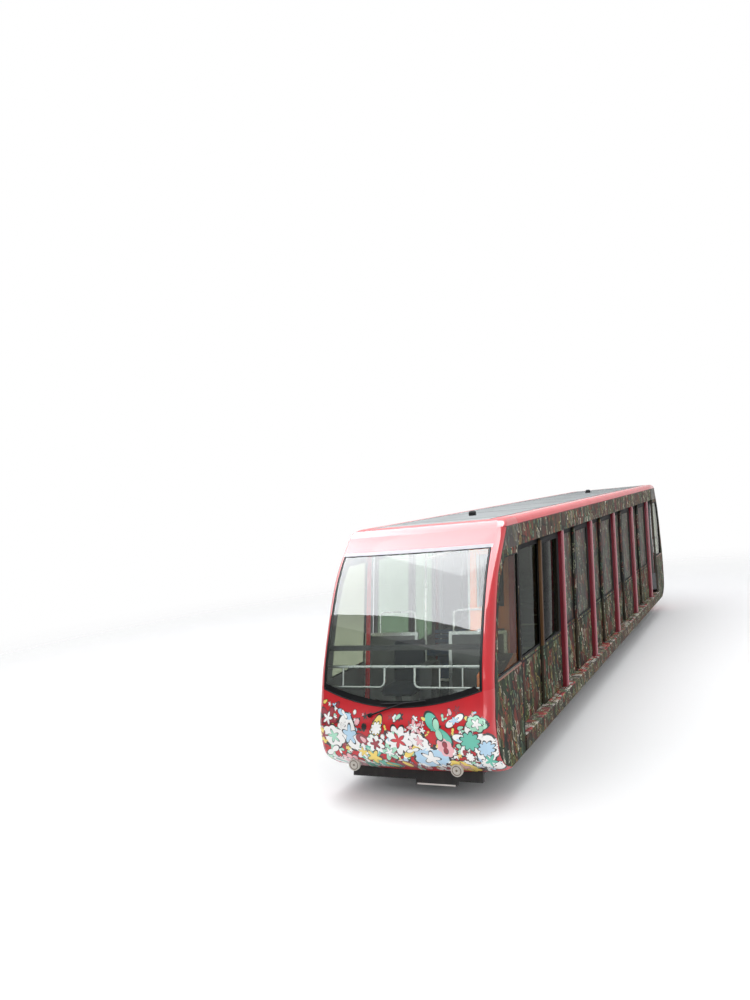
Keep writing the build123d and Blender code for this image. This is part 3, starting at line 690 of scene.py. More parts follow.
# The border's line at a share of its length, from the left waist round the top to the right waist and back
def screenEdge(share, inset, topInset, lowInset):
    halfTop, halfLow = screen["halfTop"] - inset, screen["halfLow"] - inset
    first, second, third = screenTurns
    top = screen["top"] - topInset
    if share < first:
        part = share / first
        return (-halfLow + part * (halfLow - halfTop), screen["waist"] + part * (top - screen["waist"]))
    if share < second:
        part = (share - first) / (second - first)
        return (-halfTop + 2 * part * halfTop, top)
    if share < third:
        part = (share - second) / (third - second)
        return (halfTop + part * (halfLow - halfTop), top - part * (top - screen["waist"]))
    part = (share - third) / (1 - third)
    offset = halfLow - 2 * part * halfLow
    sag = screen["waist"] - screen["smile"]
    return (offset, screen["smile"] + sag * (offset / halfLow) ** 2 + lowInset)


# Points all along the border, laid on the skin of an end
def screenLine(skin, end, insets, lift):
    return [skinPoint(skin, end, screenEdge(step / screen["steps"], *insets), lift)
            for step in range(screen["steps"])]


for endName, end in ends:
    skin = surfaceOf("windscreen_" + endName, "end_frame_" + endName, "nose_" + endName)
    bm = bmesh.new()
    lines = [screenLine(skin, end, insets, screen["borderLift"]) for insets in ((0, 0, 0), screen["border"])]
    bridgeRows(bm, *([bm.verts.new(point) for point in line] for line in lines))
    piece("screenBorder_" + endName, bm, "glossBlack")
    bm = bmesh.new()
    rows = [[], []]
    for step in range(screen["stripColumns"] + 1):
        offset = (2 * step / screen["stripColumns"] - 1) * (screen["halfTop"] + screen["stripOver"])
        for row, height in zip(rows, (screen["top"] + screen["stripGap"], screen["top"] + screen["strip"])):
            row.append(bm.verts.new(skinPoint(skin, end, (offset, height), screen["stripLift"])))
    bridgeRows(bm, *rows, closed=False)
    bmesh.ops.recalc_face_normals(bm, faces=bm.faces[:])
    if sum(face.normal.x * face.calc_area() for face in bm.faces) * end > 0:
        bmesh.ops.reverse_faces(bm, faces=bm.faces[:])
    piece("browStrip_" + endName, bm, "stripGrey")
    bm = bmesh.new()
    line = screenLine(skin, end, [screen["beadInset"]] * 3, screen["beadLift"])
    addTube(bm, line, screen["bead"], screen["beadSides"], closed=True)
    piece("screenBead_" + endName, bm, "blackRubber")
print("windscreen surround done")

# Body sides: door leaves with their panes, rubber round every pane, film, belt strips, pillar caps, gutters
leaf = {"foot": 0.588, "top": 2.98, "paneMiddle": 0.02, "paneHalf": 0.004, "paneGap": 0.0002,
        "paneBevel": 0.001}
paneSeal = {"width": 0.02, "rounding": 0.04, "proud": 0.003, "fixedFar": 1.054}
edgeRubber = {"width": 0.01, "over": 0.001, "inset": 0.004, "proud": 0.002, "bevel": 0.002}
leafTrim = {"from": -0.002, "to": 0.045, "proud": 0.004, "below": 0.02, "above": 0.03, "lipHalf": 0.002,
            "lipBevel": 0.001, "bevel": 0.002}
film = {"lift": 0.0008, "firstBay": 2, "fixedFace": 1.038}
beltStrip = {"low": 1.352, "high": 1.372, "proud": 0.004, "leafInset": 0.03, "bayStart": 0.002,
             "bayEnd": 0.09, "bevel": 0.0015}
cap = {"near": 0.022, "far": 0.118, "rise": 0.012, "columns": 8, "gap": 0.02, "sink": 0.0005, "sharp": 80}
gutter = {"height": 3.282, "radius": 0.004, "sides": 8, "start": 0.5, "roofLow": 3.388, "roofHigh": 3.3925,
          "roofNear": 0.894, "roofFar": 0.906, "roofOver": 0.4, "bevel": 0.001}
seamStrip = {"start": 1.034, "end": 1.083, "low": 0.575, "high": 2.985, "lift": 0.0012, "columns": 1,
             "rows": 12}
cabSill = {"start": 0.02, "end": 1.03, "low": 1.452, "high": 1.474, "lift": 0.002, "columns": 6, "rows": 1}
cabWindow = ((0.04, 1.48), (0.07, 1.9), (0.15, 2.35), (0.29, 2.7), (0.44, 2.9), (1.026, 2.9), (1.026, 1.48))
cabSeal = (1.16, 1.172, 0.016, 0.03)  # inner face, outer face, width, rounding


# A block on one side of the car, between two distances from its middle plane
def addSideBlock(bm, start, end, low, high, side, near, far, bevel):
    addBlock(bm, start, end, low, high, *sideSpan(side, near, far), bevel)


# A door leaf in place of its CAD node, with its pane, trims, rubbers and film
def addDoor(sideName, side, number, bayEnd):
    label = sideName + "_" + str(number)
    body = "door_" + label + "_leaf"
    end = bayEnd - car["runGap"]
    start = end - car["leafWidth"]
    low, high = car["belt"], leaf["top"] - car["bar"]
    near = car["bayFace"] + car["leafGap"]
    far = near + car["leafDepth"]
    skin = far - car["sink"]
    bm = bmesh.new()
    addLeaf(bm, start, end, leaf["foot"], leaf["top"], low - car["bar"], car["bar"], near, far, side)
    made = piece("leaf_" + label, bm, "bayWrap", body)
    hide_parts("door_" + label)
    inner = (start + car["bar"], end - car["bar"], low, high)
    pane, gap = near + leaf["paneMiddle"], leaf["paneGap"]
    bm = bmesh.new()
    addSideBlock(bm, inner[0] + gap, inner[1] - gap, low + gap, high - gap, side, pane - leaf["paneHalf"],
                 pane + leaf["paneHalf"], leaf["paneBevel"])
    piece("leafPane_" + label, bm, "sideGlass", body)
    bm = bmesh.new()
    limits = (low - leafTrim["below"], high + leafTrim["above"], side)
    outer = far + leafTrim["proud"]
    addSideBlock(bm, start - leafTrim["lipHalf"], start + leafTrim["lipHalf"], *limits, near + car["sink"],
                 outer, leafTrim["lipBevel"])
    addSideBlock(bm, start + leafTrim["from"], start + leafTrim["to"], *limits, skin, outer,
                 leafTrim["bevel"])
    piece("leafTrim_" + label, bm, "ochreTrim" if number < film["firstBay"] else "windowFilm", body)
    bm = bmesh.new()
    addPaneSeal(bm, *inner, side, skin, far + paneSeal["proud"], paneSeal["width"], paneSeal["rounding"])
    addSideBlock(bm, end - edgeRubber["width"], end + edgeRubber["over"], leaf["foot"] + edgeRubber["inset"],
                 leaf["top"] - edgeRubber["inset"], side, near - car["sink"], far + edgeRubber["proud"],
                 edgeRubber["bevel"])
    addSideBlock(bm, start + beltStrip["leafInset"], end - beltStrip["leafInset"], beltStrip["low"],
                 beltStrip["high"], side, skin, far + beltStrip["proud"], beltStrip["bevel"])
    piece("leafSeal_" + label, bm, "blackRubber", body)
    if number >= film["firstBay"]:
        bm = bmesh.new()
        addFilm(bm, *inner, pane + leaf["paneHalf"] + film["lift"], side)
        piece("leafFilm_" + label, bm, "windowFilm", body)


# A slightly rounded cap on a pillar. Its red, paler than the pillar's maroon, is a painted highlight down
# the pillar's middle.
def addPillarCap(bm, side, station):
    def bulge(station, height, share):
        face = car["halfWidth"] - cap["sink"] + cap["rise"] * (1 - share ** 2)
        return Vector((station, side * face, height))

    addSheet(bm, station + cap["near"], station + cap["far"], car["ledge"] + cap["gap"],
             car["cantrail"] - cap["gap"], bulge, cap["columns"])


# Rubbers and film of the fixed panes, the belt strips under them and the pillar caps
def addFixedPanes(sideName, side):
    seals, films, strips, caps = (bmesh.new() for _ in range(4))
    skin = car["bayFace"] - car["sink"]
    for number, (bayStart, bayEnd) in enumerate(zip(bayStarts, bayEnds), 1):
        innerEnd = bayEnd - car["leafWidth"] + car["bar"] if number <= doorCount else bayEnd
        inner = (bayStart + car["bar"], innerEnd - car["bar"], car["belt"], car["cantrail"] - car["bar"])
        addPaneSeal(seals, *inner, side, skin, paneSeal["fixedFar"], paneSeal["width"], paneSeal["rounding"])
        addSideBlock(strips, bayStart + beltStrip["bayStart"], innerEnd - beltStrip["bayEnd"],
                     beltStrip["low"], beltStrip["high"], side, skin, car["bayFace"] + beltStrip["proud"],
                     beltStrip["bevel"])
        if number >= film["firstBay"]:
            addFilm(films, *inner, film["fixedFace"] + film["lift"], side)
    for station in pillarStations:
        addPillarCap(caps, side, station)
    piece("paneSeals_" + sideName, seals, "blackRubber")
    piece("paneFilm_" + sideName, films, "windowFilm")
    piece("beltStrips_" + sideName, strips, "blackRubber")
    piece("pillarCaps_" + sideName, caps, "pillarCap", sharp=cap["sharp"])


for sideName, side in sides:
    for number, bayEnd in enumerate(pillarStations, 1):
        addDoor(sideName, side, number, bayEnd)
    addFixedPanes(sideName, side)
    bm = bmesh.new()
    rail = [spot(station, side * (car["halfWidth"] + car["sink"]), gutter["height"])
            for station in (gutter["start"], car["length"] - gutter["start"])]
    addTube(bm, rail, gutter["radius"], gutter["sides"])
    addSideBlock(bm, car["seam"] - gutter["roofOver"], uphillSeam + gutter["roofOver"], gutter["roofLow"],
                 gutter["roofHigh"], side, gutter["roofNear"], gutter["roofFar"], gutter["bevel"])
    piece("gutters_" + sideName, bm, "blackRubber")
    seals, seams, sills = (bmesh.new() for _ in range(3))
    for endName, end in ends:
        tree = surfaceOf("cab_side_" + endName + "_" + sideName)
        addSeal(seals, [(endStation(station, end), height) for station, height in cabWindow], side, *cabSeal)
        layPatch(seams, tree, end, side, seamStrip)
        layPatch(sills, tree, end, side, cabSill)
    piece("cabWindowSeals_" + sideName, seals, "blackRubber")
    piece("seamStrips_" + sideName, seams, "blackRubber")
    piece("cabSills_" + sideName, sills, "brownTrim")
print("body sides done")

# Inside the cabs: red posts by the seam, dark mesh in the screens
cabPost = {"start": 0.985, "end": 1.07, "near": 1.045, "far": 1.12, "low": 0.75, "high": 3.2, "bevel": 0.008}
meshPanel = {"start": 1.0095, "end": 1.0205, "low": 1.15, "high": 1.84, "inset": 0.045, "bevel": 0.001}
screenBays = ((0.3, 1.12, 1), (0.17, 1.0, -1))
# The attendant's seat and a black cabinet beside it, instruments on the desk
cabSeat = {"back": (0.74, 0.84), "backHeights": (1.28, 1.82), "seat": (0.36, 0.74),
           "seatHeights": (1.18, 1.3), "near": 0.1, "far": 0.56, "rounding": 0.045,
           "roundSteps": 5, "low": 0.72, "post": 0.04,
           "base": ((0.16, 0), (0.16, 0.02), (0.04, 0.05))}
cabinet = {"start": 0.5, "end": 0.8, "near": -0.12, "far": 0.06, "low": 0.72, "high": 1.56, "bevel": 0.012}
desk = {"front": 0.42, "back": 0.96, "near": 0.78, "far": 1.13, "lowTop": 1.44, "highTop": 1.6,
        "panel": 0.012, "inset": 0.03, "bevel": 0.003}
# Columns: station, offset, radius
dials = ((0.52, 0.86, 0.045), (0.52, 0.98, 0.045), (0.62, 0.92, 0.03), (0.72, 0.86, 0.02),
         (0.72, 0.95, 0.02), (0.72, 1.04, 0.02))
dialOutline = ((0, 0.004), (0.85, 0.004), (0.88, 0.012), (1, 0.01), (1, -0.004))  # share of radius, height
dialTilt = 0.25


# A block of the cabs, from its dictionary of limits
def addEndBlock(bm, end, near, far, limits):
    addBlock(bm, *endSpan(end, limits["start"], limits["end"]), limits["low"], limits["high"],
             *sorted((near, far)), limits["bevel"])


# The sloping panel on the desk and its dials
def addDesk(endName, end):
    rise = (desk["highTop"] - desk["lowTop"]) / (desk["back"] - desk["front"])
    inset = desk["inset"]
    part = bmesh.new()
    bmesh.ops.create_cube(part, size=1.0)
    for vert in part.verts:
        station = between(desk["front"] + inset, desk["back"] - inset, vert.co.x + 0.5)
        offset = between(desk["near"] + inset, desk["far"] - inset, vert.co.y + 0.5)
        top = desk["lowTop"] + (station - desk["front"]) * rise
        vert.co = Vector((endStation(station, end), -end * offset, top + (vert.co.z + 0.5) * desk["panel"]))
    roundEdges(part, part.edges[:], desk["bevel"])
    panel, rims = bmesh.new(), bmesh.new()
    absorb(panel, part)
    piece("deskPanel_" + endName, panel, "blackFrame")
    for station, offset, radius in dials:
        top = desk["lowTop"] + (station - desk["front"]) * rise + desk["panel"]
        addTurned(rims, [(radius * share, height) for share, height in dialOutline],
                  spot(endStation(station, end), -end * offset, top), (-end * dialTilt, 0, 1))
    piece("deskDials_" + endName, rims, "paleTrim")


for endName, end in ends:
    posts, panels = bmesh.new(), bmesh.new()
    for sideName, side in sides:
        addEndBlock(posts, end, side * cabPost["near"], side * cabPost["far"], cabPost)
    for near, far, side in screenBays:
        near, far = near + meshPanel["inset"], far - meshPanel["inset"]
        addEndBlock(panels, end, side * near, side * far, meshPanel)
    piece("cabPosts_" + endName, posts, "redPaint")
    piece("meshPanels_" + endName, panels, "screenMesh")
for endName, end in ends:
    bm = bmesh.new()
    for cushion in ("back", "seat"):
        part = boxPart(*endSpan(end, *cabSeat[cushion]), *sideSpan(end, cabSeat["near"], cabSeat["far"]),
                       *cabSeat[cushion + "Heights"])
        roundEdges(part, part.edges[:], cabSeat["rounding"], cabSeat["roundSteps"])
        absorb(bm, part)
    piece("cabSeat_" + endName, bm, "seatCloth")
    bm = bmesh.new()
    foot = spot(endStation(sum(cabSeat["seat"]) / 2, end), (cabSeat["near"] + cabSeat["far"]) / 2 * end,
                cabSeat["low"])
    reach = cabSeat["seatHeights"][0] - cabSeat["low"]
    addTurned(bm, cabSeat["base"] + ((cabSeat["post"], reach),), foot, (0, 0, 1))
    addEndBlock(bm, end, end * cabinet["near"], end * cabinet["far"], cabinet)
    piece("cabCabinet_" + endName, bm, "blackFrame")
    addDesk(endName, end)
print("cabs done")

# Ends: a dark seam behind each post, rings on the buffers, a pale lip on the deflector
postSeam = {"radius": 0.004, "sides": 6, "lift": 0.0005,
            "line": ((0.42, 0.315, 1.205), (0.49, 0.185, 1.205), (0.56, 0.085, 1.204), (0.64, 0.015, 1.203),
                     (0.85, -0.065, 1.198), (1.15, -0.105, 1.193), (1.5, -0.095, 1.188), (2.0, -0.005, 1.18),
                     (2.42, 0.08, 1.174), (2.72, 0.175, 1.171), (2.99, 0.365, 1.17), (3.28, 0.583, 1.17))}
buffer = {"station": -0.127, "offset": 0.7, "height": 0.48, "ring": 0.055, "ringHalf": 0.005,
          "ringSteps": 40, "stud": ((0, 0.006), (0.014, 0.004), (0.014, -0.001)), "studSteps": 16}
lip = {"start": 0.252, "end": 0.2555, "low": 0.172, "high": 0.19, "near": 0.02, "far": 0.54, "bevel": 0.001}
for endName, end in ends:
    seams, rings, lips = (bmesh.new() for _ in range(3))
    for sideName, side in sides:
        line = [spot(endStation(station, end), side * (half + postSeam["lift"]), height)
                for height, station, half in postSeam["line"]]
        addTube(seams, line, postSeam["radius"], postSeam["sides"])
        face = spot(endStation(buffer["station"], end), side * buffer["offset"], buffer["height"])
        ring, half = buffer["ring"], buffer["ringHalf"]
        outline = ((ring - half, -car["sink"]), (ring - half, half), (ring + half, half),
                   (ring + half, -car["sink"]))
        addTurned(rings, outline, face, (-end, 0, 0), buffer["ringSteps"], closed=True)
        addTurned(rings, buffer["stud"], face, (-end, 0, 0), buffer["studSteps"])
    addEndBlock(lips, end, -lip["far"], -lip["near"], lip)
    piece("postSeams_" + endName, seams, "blackRubber")
    piece("bufferRings_" + endName, rings, "wheelSteel")
    piece("deflectorLip_" + endName, lips, "paleTrim")
print("ends done")

# Running gear: axle box covers with studs, springs on the side frames, hub collars and studs on the wheels.
# Outlines are shares of the radius and of the depth.
gear = {"middles": (("valley", -4.2), ("uphill", 4.2)), "halfBase": 0.8, "axleHeight": 0.32, "steps": 32}
cover = {"face": 0.75, "radius": 0.085, "depth": 0.026, "outline": ((0, 1), (0.7, 1), (0.8, 0.6), (1, 0.5)),
         "studs": 6, "studRing": 0.0726, "studRadius": 0.009, "studDepth": 0.013}
spring = {"low": 0.402, "high": 0.486, "radius": 0.045, "wire": 0.009, "turns": 3, "turnSteps": 16,
          "reach": 0.11, "offset": 0.705, "sides": 6}
hub = {"face": 0.545, "far": 0.605, "bore": 0.058, "radius": 0.11,
       "outline": ((0.8, 1), (1, 0.7), (1.15, 0)), "studs": 8, "studRing": 0.17, "studRadius": 0.014,
       "studDepth": 0.018}


# A ring of six-sided studs
def addStuds(bm, centre, side, what):
    for number in range(what["studs"]):
        angle = 2 * pi * number / what["studs"]
        place = centre + Vector((what["studRing"] * cos(angle), 0, what["studRing"] * sin(angle)))
        outline = ((0, what["studDepth"]), (what["studRadius"], what["studDepth"]),
                   (what["studRadius"], -car["sink"]))
        addTurned(bm, outline, place, (0, side, 0), 6)


def addCover(bm, side, station):
    face = Vector((station, side * cover["face"], gear["axleHeight"]))
    outline = [(cover["radius"] * wide, cover["depth"] * deep) for wide, deep in cover["outline"]]
    outline.append((cover["radius"], -car["sink"]))
    addTurned(bm, outline, face, (0, side, 0), gear["steps"])
    addStuds(bm, face + Vector((0, side * cover["studDepth"], 0)), side, cover)


def addSpring(bm, side, station):
    steps = spring["turns"] * spring["turnSteps"]
    rise = (spring["high"] - spring["low"]) / steps
    angles = [step * 2 * pi / spring["turnSteps"] for step in range(steps + 1)]
    points = [Vector((station + spring["radius"] * cos(angle),
                      side * spring["offset"] + spring["radius"] * sin(angle), spring["low"] + step * rise))
              for step, angle in enumerate(angles)]
    addTube(bm, points, spring["wire"], spring["sides"])


def addHub(bm, side, station):
    face = Vector((station, side * hub["face"], gear["axleHeight"]))
    depth = hub["far"] - hub["face"]
    outline = [(hub["radius"] * wide, depth * deep) for wide, deep in hub["outline"]]
    addTurned(bm, [(hub["bore"], depth), *outline, (hub["bore"], 0)], face, (0, side, 0), gear["steps"],
              closed=True)
    addStuds(bm, face, side, hub)


axles = (-gear["halfBase"], gear["halfBase"])
for bogie, (bogieName, middle) in enumerate(gear["middles"]):
    covers, springs = bmesh.new(), bmesh.new()
    for sideName, side in sides:
        for reach in axles:
            addCover(covers, side, middle + reach)
        for reach in (-spring["reach"], spring["reach"]):
            addSpring(springs, side, middle + reach)
    piece("axleCovers_" + bogieName, covers, "blackFrame", "bogie_" + bogieName)
    piece("springs_" + bogieName, springs, "wheelSteel", "bogie_" + bogieName)
    for number, reach in enumerate(axles, 1 + len(axles) * bogie):
        bm = bmesh.new()
        for sideName, side in sides:
            addHub(bm, side, middle + reach)
        piece("hubs_" + str(number), bm, "wheelSteel", "wheelset_" + str(number) + "_body")
print("running gear done")

# Under the floor: pipes along the beams, louvres on the equipment boxes
pipes = {"places": ((0.342, 0.506), (0.342, 0.482), (-0.342, 0.506)), "radius": 0.011, "sides": 10,
         "stations": (1.3, 13.3)}
louvres = {"boxes": ((5.1, 6.9, -1), (7.7, 9.3, -1), (5.5, 8.9, 1)), "rows": 5, "low": 0.3, "pitch": 0.04,
           "face": 0.9, "proud": 0.008, "width": 0.016, "inset": 0.12, "bevel": 0.003}
bm = bmesh.new()
for offset, height in pipes["places"]:
    run = [spot(station, offset, height) for station in pipes["stations"]]
    addTube(bm, run, pipes["radius"], pipes["sides"])
piece("pipes", bm, "steel")
bm = bmesh.new()
for start, finish, side in louvres["boxes"]:
    for row in range(louvres["rows"]):
        low = louvres["low"] + row * louvres["pitch"]
        addSideBlock(bm, start + louvres["inset"], finish - louvres["inset"], low, low + louvres["width"],
                     side, louvres["face"] - car["sink"], louvres["face"] + louvres["proud"],
                     louvres["bevel"])
piece("louvres", bm, "blackFrame")

# Inside: slatted benches with backs, edges on the steps, light strips under the roof, joints across the roof
lean = atan2(car["slope"], 1)
stepFall = sin(lean) * cos(lean)
tread = {"pitch": 1.157, "count": 11, "low": 0.69, "half": 1.0, "edge": (-0.003, 0.045),
         "edgeHeights": (-0.03, 0.003),
         "bevel": 0.001}
tread["high"] = tread["low"] + stepFall * tread["pitch"]
bench = {"from": 0.64, "length": 0.4, "top": 0.45, "near": 0.42, "far": 0.96, "slats": 5, "thick": 0.018,
         "gap": 0.014, "over": 0.004, "sink": 0.002, "backHigh": 0.84, "backGap": 0.08, "backSlats": 4,
         "backFront": 0.03, "backFace": 0.012, "post": 0.03, "postInset": 0.08, "postFront": 0.013,
         "postFoot": 0.06, "postTop": 0.01, "bevel": 0.005, "last": 9}
lamps = {"offset": 0.45, "low": 3.302, "high": 3.329, "half": 0.05, "starts": (1.5, 3.9, 6.3, 8.7, 11.1),
         "length": 2.0, "bevel": 0.012}
roofJoint = {"half": 0.004, "low": 3.3885, "high": 3.3915, "reach": 0.89, "bevel": 0.001}


# A level place on the steps: along it, across the car, and plumb up from it
def levelMatrix(station, height):
    foot = spot(station, 0, height)
    return Matrix(((cos(lean), 0, sin(lean), foot.x), (0, 1, 0, 0), (-sin(lean), 0, cos(lean), foot.z),
                   (0, 0, 0, 1)))


def addLevelBlock(bm, matrix, along, across, heights, bevel):
    part = boxPart(*along, *across, *heights)
    roundEdges(part, part.edges[:], bevel)
    absorb(bm, part, matrix)


# The slats of a bench and of its back, and the posts that hold the back
def addBench(slats, posts, foot, side):
    near, far = sideSpan(side, bench["near"], bench["far"])
    across = (near - bench["over"], far + bench["over"])
    pitch = bench["length"] / bench["slats"]
    back, face = bench["length"] - bench["backFront"], bench["length"] - bench["backFace"]
    for slat in range(bench["slats"]):
        addLevelBlock(slats, foot, (slat * pitch, (slat + 1) * pitch - bench["gap"]), across,
                      (bench["top"] - bench["sink"], bench["top"] + bench["thick"]), bench["bevel"])
    rise = (bench["backHigh"] - bench["top"] - bench["backGap"]) / bench["backSlats"]
    for slat in range(bench["backSlats"]):
        low = bench["top"] + bench["backGap"] + slat * rise
        addLevelBlock(slats, foot, (back, face), across, (low, low + rise - bench["gap"]), bench["bevel"])
    along = (bench["length"] - bench["postFront"], bench["length"] + bench["backFace"])
    heights = (bench["top"] - bench["postFoot"], bench["backHigh"] - bench["postTop"])
    for place in (near + bench["postInset"], far - bench["postInset"] - bench["post"]):
        addLevelBlock(posts, foot, along, (place, place + bench["post"]), heights, bench["bevel"])


slats, posts, edges = (bmesh.new() for _ in range(3))
for number in range(tread["count"]):
    station = car["seam"] + number * tread["pitch"]
    addLevelBlock(edges, levelMatrix(station, tread["high"]), tread["edge"], (-tread["half"], tread["half"]),
                  tread["edgeHeights"], tread["bevel"])
    if number % 2 == 1 and number <= bench["last"]:
        foot = levelMatrix(station + bench["from"], tread["high"] - stepFall * bench["from"])
        for sideName, side in sides:
            addBench(slats, posts, foot, side)
piece("benchSlats", slats, "seatShell")
piece("benchPosts", posts, "steel")
piece("stepEdges", edges, "paleTrim")
bm = bmesh.new()
for start in lamps["starts"]:
    for sideName, side in sides:
        middle = side * lamps["offset"]
        addBlock(bm, start, start + lamps["length"], lamps["low"], lamps["high"], middle - lamps["half"],
                 middle + lamps["half"], lamps["bevel"])
piece("ceilingLamps", bm, "lampGlass")
bm = bmesh.new()
for station in pillarStations:
    middle = station + car["pillar"] / 2
    addBlock(bm, middle - roofJoint["half"], middle + roofJoint["half"], roofJoint["low"], roofJoint["high"],
             -roofJoint["reach"], roofJoint["reach"], roofJoint["bevel"])
piece("roofJoints", bm, "blackRubber")
print("interior done")


# Outlined motifs on the nose: leaves, stars, bursts, petals, clouds, drops and beans
def rimOf(shape, angle):
    if shape == "leaf":
        return abs(cos(angle)) ** 1.6 * 0.78 + 0.22
    if shape == "star":
        return 0.62 + 0.38 * (1 - abs(((angle * 5 / pi) % 2) - 1) * 2)
    if shape == "burst":
        return 0.6 + 0.4 * abs(sin(angle * 4.5)) ** 0.7
    if shape == "petals":
        return 0.72 + 0.28 * cos(angle * 5)
    if shape == "cloud":
        return 0.78 + 0.16 * abs(sin(angle * 3.5)) + 0.06 * cos(angle * 2)
    if shape == "drop":
        return 0.55 + 0.45 * exp(-((angle if angle < pi else angle - 2 * pi) / 0.55) ** 2)
    return 0.75 + 0.2 * cos(angle * 2) + 0.1 * cos(angle)


motifTones = {"white": (0.85, 0.84, 0.82), "teal": (0.1, 0.48, 0.36), "sky": (0.42, 0.62, 0.78),
              "yellow": (0.83, 0.62, 0.12), "wine": (0.3, 0.012, 0.03), "pink": (0.8, 0.42, 0.45),
              "ink": (0.01, 0.01, 0.012), "mint": (0.35, 0.68, 0.5), "red": (0.6, 0.02, 0.03)}
motifLook = {"rough": 0.35, "coat": 0.8, "bump": 0.03, "patchShare": 0.4}
darker, lighter = 0.8, 1.15
for name, tone in motifTones.items():
    finish = "decal" + name.capitalize()
    paints[finish] = plainFinish(finish, {
        **motifLook, "colour": tone, "patch": tuple(value * darker for value in tone),
        "speck": tuple(min(value * lighter, 1) for value in tone)})


# A flat disc of rings, which each motif pulls to its own rim
def makeDisc(rimSides, ringCount):
    bm = bmesh.new()
    verts = bmesh.ops.create_circle(bm, segments=rimSides, radius=1.0, cap_ends=True, cap_tris=True)["verts"]
    middle = min(verts, key=lambda vert: vert.co.length)
    bmesh.ops.subdivide_edges(bm, edges=list(middle.link_edges), cuts=ringCount - 1)
    return meshOf("motifDisc", bm)


fineDisc = makeDisc(90, 7)
coarseDisc = makeDisc(40, 3)
# A point that misses the nose moves in towards the motif's middle, in equal parts of the way
nose = {"back": 7.25, "front": 7.8, "tries": 26, "part": 0.04}
noseTrees = {end: surfaceOf("nose_" + endName) for endName, end in ends}


def noseHit(tree, offset, height, end):
    start = Vector((-farOut["end"] * end, offset, height + car["flange"]))
    hit, normal = tree.ray_cast(start, Vector((end, 0, 0)))[:2]
    if hit is None or abs(hit.x) < nose["back"]:
        return None, None
    return hit, normal


def addMotif(bm, disc, tree, end, shape, centre, size, turn, squash, lift):
    known = len(bm.verts)
    bm.from_mesh(disc)
    bm.verts.ensure_lookup_table()
    for vert in bm.verts[known:]:
        scale = rimOf(shape, atan2(vert.co.y, vert.co.x) % (2 * pi)) * size
        flat, tall = vert.co.x * scale, vert.co.y * scale * squash
        across, up = flat * cos(turn) - tall * sin(turn), flat * sin(turn) + tall * cos(turn)
        for step in range(nose["tries"]):
            share = 1.0 - step * nose["part"]
            hit, normal = noseHit(tree, centre[0] + across * share, centre[1] + up * share, end)
            if hit is not None:
                break
        if hit is None:
            hit, normal = tree.find_nearest(Vector((-nose["front"] * end, *centre)))[:2]
        vert.co = hit + normal * lift


# Columns: shape, offset, height, size, turn, squash, fill, detail shape, detail colour
bigMotifs = (
    ("petals", -0.93, 0.86, 0.24, 0.3, 1.0, "white", "burst", "teal"),
    ("leaf", -0.55, 1.0, 0.26, 0.9, 0.62, "teal", "leaf", "mint"),
    ("cloud", -0.42, 0.64, 0.25, 0.1, 0.72, "sky", "petals", "white"),
    ("burst", -0.03, 0.86, 0.21, 0.2, 1.0, "white", "star", "red"),
    ("drop", 0.26, 1.0, 0.18, 1.9, 0.8, "yellow", "burst", "white"),
    ("star", 0.36, 0.62, 0.22, 0.5, 1.0, "teal", "petals", "yellow"),
    ("bean", 0.66, 0.9, 0.27, 1.2, 0.8, "white", "petals", "sky"),
    ("leaf", 0.98, 0.66, 0.25, 2.2, 0.6, "mint", "leaf", "white"),
    ("petals", 1.0, 1.08, 0.17, 0.8, 1.0, "wine", "star", "white"),
    ("cloud", -0.78, 0.5, 0.2, 0.5, 0.6, "yellow", "star", "pink"),
    ("burst", 0.72, 0.5, 0.19, 0.4, 0.8, "pink", "petals", "white"),
    ("drop", -0.08, 0.52, 0.18, 0.3, 0.7, "wine", "drop", "yellow"),
    ("star", -1.08, 0.56, 0.16, 0.2, 1.0, "sky", "burst", "white"),
    ("cloud", -0.62, 0.78, 0.15, 1.1, 0.8, "pink", "leaf", "wine"),
    ("leaf", -0.2, 0.74, 0.17, 2.5, 0.55, "yellow", "leaf", "white"),
    ("petals", 0.12, 0.7, 0.14, 0.1, 1.0, "mint", "star", "white"),
    ("bean", 0.46, 0.84, 0.13, 0.4, 0.9, "wine", "drop", "pink"),
    ("burst", 1.08, 0.86, 0.13, 0.9, 1.0, "yellow", "star", "wine"),
    ("cloud", -1.02, 1.06, 0.14, 0.3, 0.8, "mint", "petals", "white"),
    ("star", -0.26, 1.02, 0.12, 0.7, 1.0, "pink", "star", "white"),
    ("leaf", -0.76, 1.1, 0.13, 2.6, 0.7, "white", "star", "sky"),
    ("bean", 0.16, 0.5, 0.16, 0.1, 0.6, "teal", "leaf", "yellow"),
    ("leaf", 0.74, 1.14, 0.13, 0.4, 0.6, "sky", "leaf", "white"),
    ("burst", -0.56, 0.46, 0.14, 0.3, 0.7, "white", "petals", "wine"),
    ("petals", 0.5, 0.46, 0.13, 0.6, 0.9, "white", "burst", "teal"),
    ("cloud", 0.94, 0.48, 0.14, 0.2, 0.7, "white", "bean", "teal"),
    ("drop", -0.9, 0.66, 0.13, 0.9, 0.8, "wine", "burst", "white"),
    ("cloud", -1.1, 0.76, 0.2, 1.4, 0.9, "white", "burst", "sky"),
    ("cloud", 0.92, 0.86, 0.2, 0.3, 0.9, "white", "star", "mint"),
    ("burst", 0.3, 0.8, 0.15, 0.9, 0.9, "white", "petals", "wine"),
    ("cloud", -0.3, 0.86, 0.16, 0.6, 0.7, "white", "star", "pink"),
    ("leaf", -1.12, 0.6, 0.2, 1.2, 0.7, "white", "star", "teal"),
    ("petals", 0.5, 0.68, 0.15, 0.5, 0.9, "white", "star", "yellow"),
)
